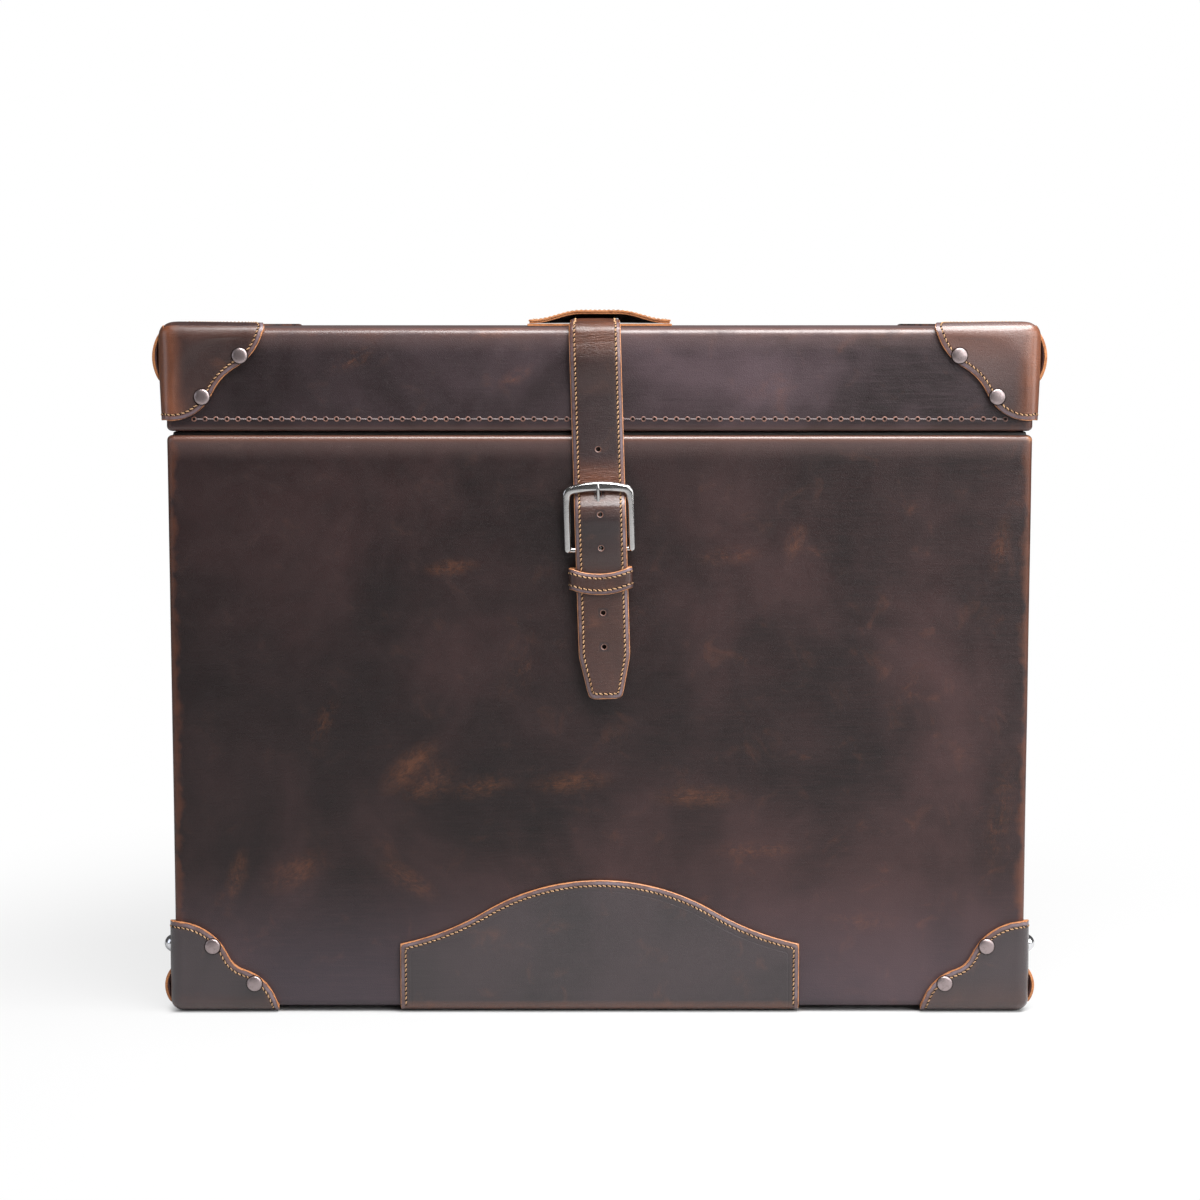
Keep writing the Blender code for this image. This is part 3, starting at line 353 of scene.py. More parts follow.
@built_once
def pull_up_mark():
    """A place where a bend or a knock has drawn the wax out of the hide: a fibrous, elongated mask."""
    tree, taken, given = group(
        "Pull-up mark",
        [
            ("Vector", "Vector", (0, 0, 0)), ("Centre", "Vector", (0, 0, 0)), ("Angle", "Float", 0.0),
            ("Length", "Float", 0.03), ("Width", "Float", 0.008), ("Depth", "Float", 0.004),
            ("Coverage", "Float", 0.5),
        ],
        ["Mask"],
    )
    away = put(tree, "VectorMath", {0: taken["Vector"], 1: taken["Centre"]}, operation="SUBTRACT")
    turned = put(
        tree, "VectorRotate",
        {"Vector": away.outputs[0], "Angle": taken["Angle"], "Axis": (0, 1, 0)},
    ).outputs["Vector"]
    size = put(tree, "CombineXYZ", {"X": taken["Length"], "Y": taken["Depth"], "Z": taken["Width"]})
    share = put(tree, "VectorMath", {0: turned, 1: size.outputs[0]}, operation="DIVIDE").outputs[0]
    reach = put(tree, "VectorMath", {0: share}, operation="LENGTH").outputs["Value"]
    body = eased(tree, reach, 0.0, 1.0, 1.0, 0.0)
    soft = clouds(tree, taken["Vector"], 130.0, 5.0, 0.62, 0.7)
    fibres = clouds(tree, stretched(tree, turned, (150, 150, 900)), 1.0, 4.0, 0.7)
    patchy = maths(tree, "MULTIPLY_ADD", fibres, 0.45, maths(tree, "MULTIPLY", soft, 0.55))
    least = maths(tree, "SUBTRACT", 0.60, maths(tree, "MULTIPLY", taken["Coverage"], 0.30))
    mask = eased(tree, patchy, least, maths(tree, "ADD", least, 0.36))
    return give(tree, given, {"Mask": maths(tree, "MULTIPLY", mask, body)})


@built_once
def case_edges():
    """How near a point is to the case's upright edges and its crown."""
    tree, taken, given = group(
        "Case edges",
        [
            ("Vector", "Vector", (0, 0, 0)), ("Half width", "Float", 0.32), ("Front", "Float", -0.12),
            ("Back", "Float", 0.13), ("Crown level", "Float", 0.514), ("Reach", "Float", 0.012),
        ],
        ["Upright", "Crown"],
    )
    at = put(tree, "SeparateXYZ", {0: taken["Vector"]}).outputs
    uneven = clouds(tree, taken["Vector"], 55.0, 3.0, 0.6)
    reach = maths(tree, "MULTIPLY", taken["Reach"], eased(tree, uneven, 0.25, 0.75, 0.45, 1.5))
    across = maths(tree, "SUBTRACT", taken["Half width"], maths(tree, "ABSOLUTE", at["X"]))
    along = maths(
        tree, "MINIMUM", maths(tree, "SUBTRACT", at["Y"], taken["Front"]),
        maths(tree, "SUBTRACT", taken["Back"], at["Y"]),
    )
    crown = maths(tree, "SUBTRACT", taken["Crown level"], at["Z"])
    either = maths(tree, "MINIMUM", across, along)
    for label, first, second in (("Upright", across, along), ("Crown", either, crown)):
        square = maths(tree, "MULTIPLY", first, first)
        distance = maths(tree, "SQRT", maths(tree, "MULTIPLY_ADD", second, second, square))
        mask = eased(tree, maths(tree, "DIVIDE", distance, reach), 0.0, 1.0, 1.0, 0.0)
        tree.links.new(mask, given[label])
    return tree


@built_once
def edge_band():
    """What lies along a cut edge: the raw line, the burnished band, and the groove of the seam."""
    tree, taken, given = group(
        "Edge band",
        [
            ("Distance", "Float", 1.0), ("Raw width", "Float", 0.0008), ("Band width", "Float", 0.005),
            ("Seam", "Float", 0.004), ("Vector", "Vector", (0, 0, 0)),
        ],
        ["Raw", "Band", "Groove", "Crease"],
    )
    uneven = eased(tree, clouds(tree, taken["Vector"], 160.0, 4.0, 0.65), 0.3, 0.7, 0.55, 1.5)
    raw = maths(tree, "MULTIPLY", taken["Raw width"], uneven)
    distance = taken["Distance"]
    off_seam = maths(tree, "ABSOLUTE", maths(tree, "SUBTRACT", distance, taken["Seam"]))
    off_crease = maths(
        tree, "ABSOLUTE", maths(tree, "SUBTRACT", distance, maths(tree, "MULTIPLY", taken["Seam"], 2.0)),
    )
    return give(tree, given, {
        "Raw": eased(tree, maths(tree, "DIVIDE", distance, raw), 0.8, 1.25, 1.0, 0.0),
        "Band": eased(tree, maths(tree, "DIVIDE", distance, taken["Band width"]), 0.0, 1.2, 1.0, 0.0),
        "Groove": eased(tree, off_seam, 0.0003, 0.0013, 1.0, 0.0),
        "Crease": eased(tree, off_crease, 0.0001, 0.0009, 1.0, 0.0),
    })


@built_once
def metal_wear():
    """Handled metal: tarnish in soft clouds, fine scratches, and a height for small dents."""
    tree, taken, given = group(
        "Metal wear", [("Vector", "Vector", (0, 0, 0)), ("Grain", "Float", 1.0)],
        ["Tarnish", "Scratch", "Height"],
    )
    vector = put(
        tree, "VectorMath", {0: taken["Vector"], "Scale": taken["Grain"]}, operation="SCALE",
    ).outputs[0]
    brushed = clouds(tree, stretched(tree, vector, (260, 900, 2600)), 1.0, 3.0, 0.7)
    dents = clouds(tree, vector, 520.0, 3.0, 0.5)
    return give(tree, given, {
        "Tarnish": clouds(tree, vector, 210.0, 5.0, 0.65, 0.5),
        "Scratch": brushed,
        "Height": maths(tree, "MULTIPLY_ADD", brushed, 0.25, dents),
    })


GROUPS = {
    "Hide grain": hide_grain,
    "Pull-up mark": pull_up_mark,
    "Case edges": case_edges,
    "Edge band": edge_band,
    "Metal wear": metal_wear,
}


# Materials


def surface(name, **values):
    """A material with its node tree and its Principled shader, with plain numbers on the sockets."""
    made = bpy.data.materials.new(name)
    made.use_nodes = True
    tree = made.node_tree
    shader = tree.nodes["Principled BSDF"]
    for key, value in values.items():
        shader.inputs[key.replace("_", " ")].default_value = value
    return made, tree, shader


def feed(tree, shader, colour, roughness=None, height=None, strength=0.0, distance=0.0):
    """Links colour, and where they are given roughness and a bump, to a shader."""
    tree.links.new(colour, shader.inputs["Base Color"])
    if roughness is not None:
        tree.links.new(roughness, shader.inputs["Roughness"])
    if height is not None:
        bump = put(tree, "Bump", {"Strength": strength, "Distance": distance, "Height": height})
        tree.links.new(bump.outputs["Normal"], shader.inputs["Normal"])


def opaque(colour):
    return (*colour, 1.0)


def toned(first, second, share):
    """A plain colour between two others."""
    return tuple(a * (1 - share) + b * share for a, b in zip(first, second))


def lowered(tree, height, mask, depth):
    """The height, sunk by a depth where the mask is 1."""
    return maths(tree, "SUBTRACT", height, maths(tree, "MULTIPLY", mask, depth))


def object_place(tree):
    return put(tree, "TexCoord").outputs["Object"]


def attribute(tree, name, output="Fac"):
    return put(tree, "Attribute", attribute_name=name).outputs[output]


def tanned(tree, grain, dark, light, burnish):
    """The hide's colour before its edges: mottled, clouded, with fibres rubbed lighter."""
    colour = mixed(tree, eased(tree, grain["Mottle"], 0.3, 0.72), dark, light)
    lifted = maths(tree, "MULTIPLY", eased(tree, grain["Cloud"], 0.55, 0.80), 0.22)
    colour = mixed(tree, lifted, colour, burnish)
    return mixed(tree, eased(tree, grain["Fibre"], 0.35, 0.75, 0.0, 0.30), colour, light)


# Shadow deep in a punched hole and inside the joint
HOLE_SHADOW = (0.0020, 0.0015, 0.0010, 1)
JOINT_SHADOW = (0.0015, 0.0012, 0.0012, 1)
# A crown level so far off that no crown wear shows
NO_CROWN = 9.0

# Marks on the front of the hide: (x, z, turn in degrees, length, width, coverage)
BODY_MARKS = (
    (-0.142, 0.187, 42, 0.036, 0.015, 1.00), (-0.128, 0.176, 20, 0.030, 0.020, 0.75),
    (-0.021, 0.176, 5, 0.040, 0.012, 0.85), (-0.088, 0.172, 10, 0.034, 0.012, 0.70),
    (0.074, 0.165, 0, 0.044, 0.012, 0.85), (0.097, 0.346, 5, 0.030, 0.010, 0.70),
    (0.145, 0.357, 70, 0.020, 0.010, 0.80), (-0.110, 0.337, 5, 0.026, 0.009, 0.80),
    (-0.228, 0.108, 30, 0.034, 0.016, 0.85), (-0.272, 0.106, 75, 0.026, 0.010, 0.75),
    (-0.143, 0.101, -35, 0.034, 0.012, 0.80), (-0.206, 0.222, 60, 0.026, 0.010, 0.60),
    (0.297, 0.353, 80, 0.030, 0.010, 0.75), (0.118, 0.124, 0, 0.044, 0.010, 0.70),
    (0.196, 0.070, 0, 0.036, 0.012, 0.60), (0.232, 0.246, 60, 0.036, 0.014, 0.45),
    (-0.060, 0.262, 70, 0.040, 0.018, 0.45), (0.300, 0.150, 80, 0.060, 0.014, 0.60),
)
LID_MARKS = (
    (-0.062, 0.478, 30, 0.020, 0.008, 0.75), (-0.073, 0.512, 10, 0.034, 0.008, 0.80),
    (0.120, 0.470, 20, 0.030, 0.010, 0.50), (-0.180, 0.492, 25, 0.030, 0.010, 0.50),
    (0.226, 0.512, 5, 0.040, 0.008, 0.70),
)


@built_once
def hide_material(half):
    """The hide over the body or the lid: mottled and waxed, and pale where it was knocked or bent; with
    painted shade towards its left and up its face, a painted floor reflection low on the body, a painted
    highlight below the lid's top and the body's rim, a painted sheen over the lid, and painted shadow on the
    bead in the joint.
    """
    tones = bpy.context.scene.trunk_leather
    on_lid = half == "lid"
    rim_level, marks = (LID_TOP, LID_MARKS) if on_lid else (BODY_RIM, BODY_MARKS)
    dark, light = opaque(tones.hide_dark), opaque(tones.hide_light)
    burnish, raw = opaque(tones.burnish), opaque(tones.raw_edge)
    # Painted sheen: the lid's light brown leans towards the pale sheen colour, so the whole lid reads lighter
    # and bluer
    if on_lid:
        light = toned(light, opaque(tones.painted_sheen), 0.28)
    made, tree, shader = surface(f"{half}_hide", Specular_IOR_Level=0.36, Coat_Roughness=0.27)
    where = object_place(tree)
    grain = use(tree, "Hide grain", {"Vector": where, "Pores per metre": 950.0})
    at = put(tree, "SeparateXYZ", {0: where}).outputs
    # Painted shade: the hide is darkened towards its left and away from the floor, on top of its random
    # mottle
    side = maths(tree, "MULTIPLY_ADD", at["X"], 0.8, eased(tree, at["Z"], 0.0, 0.20, 0.40, 0.0))
    mottle_and_painted_shade = eased(tree, maths(tree, "MULTIPLY_ADD", grain["Mottle"], 0.6, side), 0.0, 0.62, 0.80, 0.0)
    colour = mixed(tree, mottle_and_painted_shade, tanned(tree, grain, dark, light, burnish), dark)
    # Painted reflection: the lowest 12 cm of the body are drawn towards the pale sheen colour, as if lit by
    # the floor
    colour = mixed(tree, eased(tree, at["Z"], 0.0, 0.12, 0.25, 0.0), colour, opaque(tones.painted_sheen))
    edges = use(tree, "Case edges", {
        "Vector": where, "Half width": HALF_WIDTH, "Front": FRONT, "Back": BACK,
        "Crown level": LID_TOP if on_lid else NO_CROWN, "Reach": 0.0085,
    })
    worn = maths(tree, "MULTIPLY", edges["Upright"], 0.45)
    if on_lid:
        worn = maths(tree, "MAXIMUM", worn, maths(tree, "MULTIPLY", edges["Crown"], 0.22))
    rim = eased(tree, attribute(tree, "edge"), 0.0010, 0.0065, 0.15 if on_lid else 0.42, 0.0)
    worn = maths(tree, "MAXIMUM", worn, rim)
    # Painted highlight: the glow colour fades out from 2 mm to 20 mm below the lid's top arris and the body's
    # rim
    level = maths(tree, "SUBTRACT", rim_level, at["Z"])
    colour = mixed(tree, eased(tree, level, 0.002, 0.020, 0.26, 0.0), colour, opaque(tones.glow))
    colour = mixed(tree, worn, colour, burnish)
    total = None
    for x, z, turn, length, width, coverage in marks:
        mask = use(tree, "Pull-up mark", {
            "Vector": where, "Centre": (x, FRONT, z), "Angle": math.radians(turn), "Length": length,
            "Width": width, "Depth": 0.012, "Coverage": coverage,
        })["Mask"]
        total = mask if total is None else maths(tree, "MAXIMUM", total, mask)
    colour = mixed(tree, maths(tree, "MULTIPLY", total, 0.30), colour, toned(burnish, raw, 0.2))
    fold = use(tree, "Pull-up mark", {
        "Vector": where, "Centre": (HALF_WIDTH - 0.002, FRONT + 0.002, BODY_RIM - 0.002),
        "Length": 0.005, "Width": 0.005, "Depth": 0.005, "Coverage": 1.0,
    })["Mask"]
    colour = mixed(tree, fold, colour, raw)
    # Painted shadow: the bead inside the joint, whose points have a hole value of 0, is painted near black
    painted_joint_shadow = eased(tree, attribute(tree, "hole"), 0.0, 0.5, 0.9, 0.0)
    colour = mixed(tree, painted_joint_shadow, colour, JOINT_SHADOW)
    dull = eased(tree, grain["Cloud"], 0.3, 0.75, 0.30, 0.42)
    feed(tree, shader, colour, dull, lowered(tree, grain["Height"], total, 0.3), 0.42, 0.0004)
    waxed = maths(tree, "MAXIMUM", edges["Crown"], maths(tree, "MULTIPLY", rim, 2.4, clamp=True))
    tree.links.new(waxed, shader.inputs["Coat Weight"])
    return made


def painted_cap_sheen(tree, where):
    """A mask for the painted sheen on the lid caps at the right, which face the light."""
    at = put(tree, "SeparateXYZ", {0: where}).outputs
    across = eased(tree, at["X"], 0.15, 0.32, 0.0, 0.5)
    return maths(tree, "MULTIPLY", across, eased(tree, at["Z"], 0.44, 0.515))


@built_once
def trim_leather(name, place, seam, raw_width, tone):
    """Leather with a cut and stitched edge: caps, patch, strap, keeper and grip, with a painted sheen between
    the cut edge and its stitches and on the right lid caps.
    """
    tones = bpy.context.scene.trunk_leather
    dark, light = opaque(getattr(tones, tone + "_dark")), opaque(getattr(tones, tone + "_light"))
    burnish, raw = opaque(tones.burnish), opaque(tones.raw_edge)
    creased, gloss = (6.0, 0.45) if tone == "strap" else (1.2, 0.85)
    made, tree, shader = surface(name, Specular_IOR_Level=0.36, Coat_Roughness=0.26)
    where = object_place(tree) if place == "object" else attribute(tree, "flat", "Vector")
    grain = use(tree, "Hide grain", {"Vector": where, "Pores per metre": 900.0})
    colour = tanned(tree, grain, dark, light, burnish)
    # Painted sheen: the right lid caps are drawn towards the glow colour
    if name == "cap_hide":
        colour = mixed(tree, painted_cap_sheen(tree, where), colour, opaque(tones.glow))
    distance = attribute(tree, "edge")
    band = use(tree, "Edge band", {
        "Distance": distance, "Raw width": raw_width, "Band width": seam * 1.5, "Seam": seam,
        "Vector": where,
    })
    colour = mixed(tree, maths(tree, "MULTIPLY", band["Band"], 0.35), colour, burnish)
    colour = mixed(tree, maths(tree, "MULTIPLY", band["Groove"], 0.55), colour, dark)
    worn = attribute(tree, "worn")
    rubbed = maths(tree, "MULTIPLY", worn, eased(tree, grain["Cloud"], 0.2, 0.8, 0.55, 1.0))
    colour = mixed(tree, rubbed, colour, burnish)
    # Painted sheen: a pale band between the cut edge and the stitches, broken up by clouds
    painted_sheen = eased(tree, distance, seam * 0.15, seam * 0.35)
    painted_sheen = maths(tree, "MULTIPLY", painted_sheen, eased(tree, distance, seam * 0.55, seam * 0.9, 0.75, 0.0))
    painted_sheen = maths(tree, "MULTIPLY", painted_sheen, eased(tree, grain["Cloud"], 0.35, 0.65, 0.25, 1.0))
    colour = mixed(tree, painted_sheen, colour, opaque(tones.painted_sheen))
    hole = attribute(tree, "hole")
    colour = mixed(tree, eased(tree, hole, 0.0003, 0.0009, 0.75, 0.0), colour, opaque(tones.lip))
    colour = mixed(tree, band["Raw"], colour, raw)
    colour = mixed(tree, eased(tree, hole, 0.00005, 0.0002, 0.9, 0.0), colour, HOLE_SHADOW)
    dull = eased(tree, grain["Cloud"], 0.3, 0.75, 0.28, 0.42)
    dull = maths(tree, "MULTIPLY_ADD", band["Raw"], 0.25, dull)
    wrinkles = clouds(tree, stretched(tree, where, (70, 140, 380)), 1.0, 4.0, 0.6, 1.8)
    wrinkles = maths(tree, "MULTIPLY", wrinkles, eased(tree, worn, 0.05, 0.70, 0.22, 1.0))
    height = maths(tree, "MULTIPLY_ADD", wrinkles, creased, grain["Height"])
    height = lowered(tree, height, band["Groove"], 1.5)
    height = lowered(tree, height, eased(tree, distance, -0.002, seam, 1.0, 0.0), 8.0)
    if name == "patch_hide":
        height = lowered(tree, height, band["Crease"], 0.8)
    feed(tree, shader, colour, dull, height, 0.55, 0.0004)
    tree.links.new(eased(tree, distance, 0.0, seam * 1.3, 0.9, gloss), shader.inputs["Coat Weight"])
    return made


@built_once
def raw_leather():
    """The cut face of the hide: tan, fibrous, with a darker dressing rubbed into it."""
    tones = bpy.context.scene.trunk_leather
    raw, burnish = opaque(tones.raw_edge), opaque(tones.burnish)
    made, tree, shader = surface("raw_edge", Specular_IOR_Level=0.3)
    where = object_place(tree)
    fibres = clouds(tree, stretched(tree, where, (420, 420, 1500)), 1.0, 5.0, 0.7)
    patches = clouds(tree, where, 170.0, 4.0, 0.6)
    colour = mixed(tree, eased(tree, fibres, 0.30, 0.62, 0.75, 0.0), raw, burnish)
    colour = mixed(tree, eased(tree, patches, 0.48, 0.74, 0.0, 0.75), colour, burnish)
    feed(tree, shader, colour, eased(tree, patches, 0.3, 0.7, 0.55, 0.85), fibres, 0.7, 0.0004)
    return made


@built_once
def dressed_edge():
    """A cut edge that was dyed and waxed dark."""
    tones = bpy.context.scene.trunk_leather
    made, tree, shader = surface("dressed_edge", Specular_IOR_Level=0.4)
    patches = clouds(tree, object_place(tree), 170.0, 4.0, 0.6)
    share = eased(tree, patches, 0.4, 0.7, 0.0, 0.6)
    colour = mixed(tree, share, opaque(tones.trim_dark), opaque(tones.burnish))
    feed(tree, shader, colour, eased(tree, patches, 0.3, 0.7, 0.45, 0.65), patches, 0.5, 0.0003)
    return made


@built_once
def thread_material(name):
    """Twisted, waxed thread, darker in clouds of soil and in bands along its twist."""
    tones = bpy.context.scene.trunk_leather
    colour = opaque(tones.thread if name == "thread" else tones.seam_thread)
    made, tree, shader = surface(name, Specular_IOR_Level=0.35)
    where = object_place(tree)
    twist = put(
        tree, "TexWave", {"Vector": where, "Scale": 420.0, "Distortion": 2.0, "Detail": 1.0},
        wave_type="BANDS", bands_direction="DIAGONAL",
    ).outputs["Fac"]
    soil = clouds(tree, where, 90.0, 3.0, 0.6)
    darkened = (colour[0] * 0.34, colour[1] * 0.28, colour[2] * 0.24, 1.0)
    colour = mixed(tree, eased(tree, soil, 0.42, 0.70, 0.0, 0.6), colour, darkened)
    colour = mixed(tree, eased(tree, twist, 0.2, 0.9, 0.35, 0.0), colour, darkened)
    feed(tree, shader, colour, eased(tree, soil, 0.3, 0.7, 0.5, 0.8), twist, 0.8, 0.0003)
    return made


@built_once
def dark_void():
    """Grime and painted shadow inside a needle hole, under a rivet and in a screw's slot."""
    made, tree, shader = surface("needle_hole", Specular_IOR_Level=0.1)
    soil = clouds(tree, object_place(tree), 800.0, 2.0)
    colour = mixed(tree, soil, (0.004, 0.003, 0.003, 1), (0.018, 0.011, 0.009, 1))
    feed(tree, shader, colour, eased(tree, soil, 0.2, 0.8, 0.75, 0.95))
    return made


# Each metal: its material's name, how dark its tarnish is, its roughness, and the scale of its grain
METALS = {
    "rivet": ("rivet_nickel", 0.6, 0.34, 1.6),
    "stud": ("stud_nickel", 0.8, 0.10, 1.0),
    "buckle": ("buckle_nickel", 0.7, 0.12, 0.6),
    "hinge": ("hinge_steel", 0.5, 0.34, 0.7),
}


@built_once
def metal(kind):
    """Handled metal in the tone that the panel gives it."""
    name, tarnish, roughness, grain = METALS[kind]
    bright = tuple(getattr(bpy.context.scene.trunk_metal, kind))
    made, tree, shader = surface(name, Metallic=1.0)
    wear = use(tree, "Metal wear", {"Vector": object_place(tree), "Grain": grain})
    tarnished = eased(tree, wear["Tarnish"], 0.48, 0.80)
    colour = mixed(tree, tarnished, (*bright, 1), (*(tarnish * c for c in bright), 1))
    scratched = eased(tree, wear["Scratch"], 0.3, 0.8, roughness, roughness + 0.08)
    rough = maths(tree, "MULTIPLY_ADD", tarnished, 0.10, scratched)
    feed(tree, shader, colour, rough, wear["Height"], 0.05, 0.0003)
    return made


@built_once
def board_material():
    """Pale board with long grain."""
    made, tree, shader = surface("case_board")
    where = object_place(tree)
    rings = clouds(tree, stretched(tree, where, (9, 120, 120)), 1.0, 5.0, 0.6, 1.0)
    pores = clouds(tree, stretched(tree, where, (90, 1300, 1300)), 1.0, 2.0, 0.6)
    colour = mixed(tree, eased(tree, rings, 0.3, 0.7), (0.46, 0.30, 0.165, 1), (0.27, 0.155, 0.075, 1))
    colour = mixed(tree, eased(tree, pores, 0.55, 0.75, 0.0, 0.5), colour, (0.13, 0.07, 0.035, 1))
    feed(tree, shader, colour, eased(tree, rings, 0.3, 0.7, 0.55, 0.75), pores, 0.4, 0.0003)
    return made


@built_once
def cloth_material():
    """Lining cloth in a plain weave."""
    made, tree, shader = surface("lining_cloth", Sheen_Weight=0.25)
    where = object_place(tree)
    at = put(tree, "SeparateXYZ", {0: where}).outputs
    flat = maths(tree, "ADD", at["X"], at["Y"])
    threads = 2200.0
    warp = maths(tree, "SINE", maths(tree, "MULTIPLY", flat, threads))
    weft = maths(tree, "SINE", maths(tree, "MULTIPLY", maths(tree, "SUBTRACT", at["Z"], at["Y"]), threads))
    weave = maths(tree, "MULTIPLY_ADD", maths(tree, "MULTIPLY", warp, weft), 0.5, 0.5)
    slub = clouds(tree, stretched(tree, where, (40, 40, 900)), 1.0, 3.0)
    tint = bpy.context.scene.trunk_leather.lining
    pale, deep = (*tint, 1), tuple(c * 0.45 for c in tint) + (1,)
    colour = mixed(tree, eased(tree, slub, 0.35, 0.7, 0.0, 0.5), pale, deep)
    colour = mixed(tree, eased(tree, weave, 0.1, 0.9, 0.6, 0.0), colour, deep)
    feed(tree, shader, colour, eased(tree, slub, 0.3, 0.7, 0.8, 0.95), weave, 0.5, 0.0004)
    return made


# Mesh making


def blended(first, last, share):
    """Eases from first to last as share goes from 0 to 1."""
    share = min(max(share, 0), 1)
    return first + (last - first) * share * share * (3 - 2 * share)


def quarter_turn(steps):
    """Sine and cosine at even steps over a quarter turn."""
    angles = (math.pi / 2 * k / steps for k in range(steps + 1))
    return [(math.sin(angle), math.cos(angle)) for angle in angles]


def object_from(name, bm, *materials):
    """An object made of a finished bmesh, shaded smooth."""
    mesh = bpy.data.meshes.new(name)
    bm.to_mesh(mesh)
    bm.free()
    mesh.shade_smooth()
    for made in materials:
        mesh.materials.append(made)
    obj = bpy.data.objects.new(name, mesh)
    bpy.context.scene.collection.objects.link(obj)
    return obj


def face_outward(bm, measure):
    """Makes every face agree, then turns them all over if their measure sums below zero."""
    bmesh.ops.recalc_face_normals(bm, faces=bm.faces)
    bm.normal_update()
    if sum(measure(face) for face in bm.faces) < 0:
        bmesh.ops.reverse_faces(bm, faces=bm.faces)


def new_skin():
    """A bmesh whose points carry what the leather's material reads."""
    bm = bmesh.new()
    layers = {name: bm.verts.layers.float.new(name) for name in ("edge", "worn", "hole")}
    layers["flat"] = bm.verts.layers.float_vector.new("flat")
    return bm, layers


def new_point(bm, layers, place, edge=1.0, worn=0.0, flat=(0, 0, 0), hole=1.0):
    """A point with its distance to the cut edge, its wear, its flat place and its distance to a hole."""
    vert = bm.verts.new(place)
    for name, value in (("edge", edge), ("worn", worn), ("hole", hole), ("flat", Vector(flat))):
        vert[layers[name]] = value
    return vert


def punched(bm, layers, corners, half_across, half_along, aside=0.0):
    """A hole with a rounded rim in the middle of one cell of a sheet."""
    places = [v.co for v in corners]
    centre = sum(places, Vector()) / 4
    across = ((places[1] - places[0]) + (places[2] - places[3])).normalized()
    along = ((places[3] - places[0]) + (places[2] - places[1])).normalized()
    normal = across.cross(along).normalized()
    middle = sum((v[layers["flat"]] for v in corners), Vector()) / 4
    if normal.y > 0:
        normal = -normal
    centre += Vector((aside, 0, 0))
    steps = 16
    loops = []
    for grown, lift, hole in ((0.0, -0.0003, 0.0), (0.0005, 0.00005, 0.0005), (0.0011, 0.0001, 0.0011)):
        loop = []
        for k in range(steps):
            angle = 2 * math.pi * k / steps
            u, v = math.cos(angle) * (half_across + grown), math.sin(angle) * (half_along + grown)
            place = centre + across * u + along * v + normal * lift
            loop.append(new_point(bm, layers, place, 0.015, 0.0, middle + Vector((u, 0, v)), hole))
        loops.append(loop)
    for inner, outer in zip(loops, loops[1:]):
        for k in range(steps):
            n = (k + 1) % steps
            bm.faces.new((inner[k], inner[n], outer[n], outer[k]))
    rim = loops[-1]
    quarter = steps // 4
    order = (corners[2], corners[3], corners[0], corners[1])
    for k in range(steps):
        bm.faces.new((rim[k], rim[(k + 1) % steps], order[k // quarter]))
        if k % quarter == 0:
            bm.faces.new((rim[k], order[k // quarter], order[k // quarter - 1]))


def skin(rows, outward, closed=False, closing=False, holes=()):
    """A sheet through rows of points, given as dicts for new_point, that faces outward by a measure."""
    bm, layers = new_skin()
    grid = [[new_point(bm, layers, **point) for point in row] for row in rows]
    for i, (near, far) in enumerate(zip(grid, grid[1:])):
        count = len(near)
        for j in range(count if closed else count - 1):
            k = (j + 1) % count
            corners = (near[j], near[k], far[k], far[j])
            if (i, j) in holes:
                punched(bm, layers, corners, *holes[i, j])
            else:
                bm.faces.new(corners)
    if closing:
        bm.faces.new(grid[0])
    face_outward(bm, outward)
    return bm


def leather_piece(name, bm, thickness, top, raw, arris=0.0006):
    """Gives a sheet its thickness, with the cut edge in its own material and its arrises rubbed round."""
    obj = object_from(name, bm, top, raw)
    solid = obj.modifiers.new("thickness", "SOLIDIFY")
    solid.thickness = thickness
    solid.offset = -1
    solid.use_even_offset = True
    solid.material_offset_rim = 1
    round_off = obj.modifiers.new("arris", "BEVEL")
    round_off.width = arris
    round_off.segments = 3
    round_off.limit_method = "ANGLE"
    round_off.angle_limit = math.radians(55)
    round_off.harden_normals = True
    return obj


def settle(obj, body, stands_for=()):
    """Puts a finished piece on its body, and hides the CAD nodes that it stands for."""
    if stands_for:
        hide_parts(*stands_for)
    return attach(obj, body)


def surface_tree(obj):
    """A search tree of the piece as it is seen, modifiers included."""
    graph = bpy.context.evaluated_depsgraph_get()
    graph.update()
    return BVHTree.FromObject(obj, graph)


def dropped(tree, place, out):
    """The point and normal where a line from outside meets the surface."""
    found, normal, _, _ = tree.ray_cast(place + out * 0.008, -out, 0.02)
    if found is None:
        return place, out
    return found, normal if normal.dot(out) > 0 else -normal


def even_points(path, pitch):
    """Points along a path at an even pitch that fits its length."""
    lengths = [0.0]
    for p, q in zip(path, path[1:]):
        lengths.append(lengths[-1] + (q - p).length)
    count = max(round(lengths[-1] / pitch), 1)
    found, k = [], 0
    for step in range(count + 1):
        target = lengths[-1] * step / count
        while k < len(path) - 2 and lengths[k + 1] < target:
            k += 1
        span = max(lengths[k + 1] - lengths[k], 1e-9)
        found.append(path[k].lerp(path[k + 1], min((target - lengths[k]) / span, 1)))
    return found


def ring_round(bm, centre, across, along, sides):
    """Points round a centre, where two directions give the ring's half widths."""
    angles = (2 * math.pi * k / sides for k in range(sides))
    return [bm.verts.new(centre + across * math.cos(a) + along * math.sin(a)) for a in angles]


def join_rings(bm, rings, material=0):
    """Faces from each ring of points to the next, with three corners where a ring is one point."""
    for near, far in zip(rings, rings[1:]):
        for k in range(len(near)):
            n = (k + 1) % len(near)
            face = bm.faces.new(list(dict.fromkeys((near[k], far[k], far[n], near[n]))))
            face.material_index = material


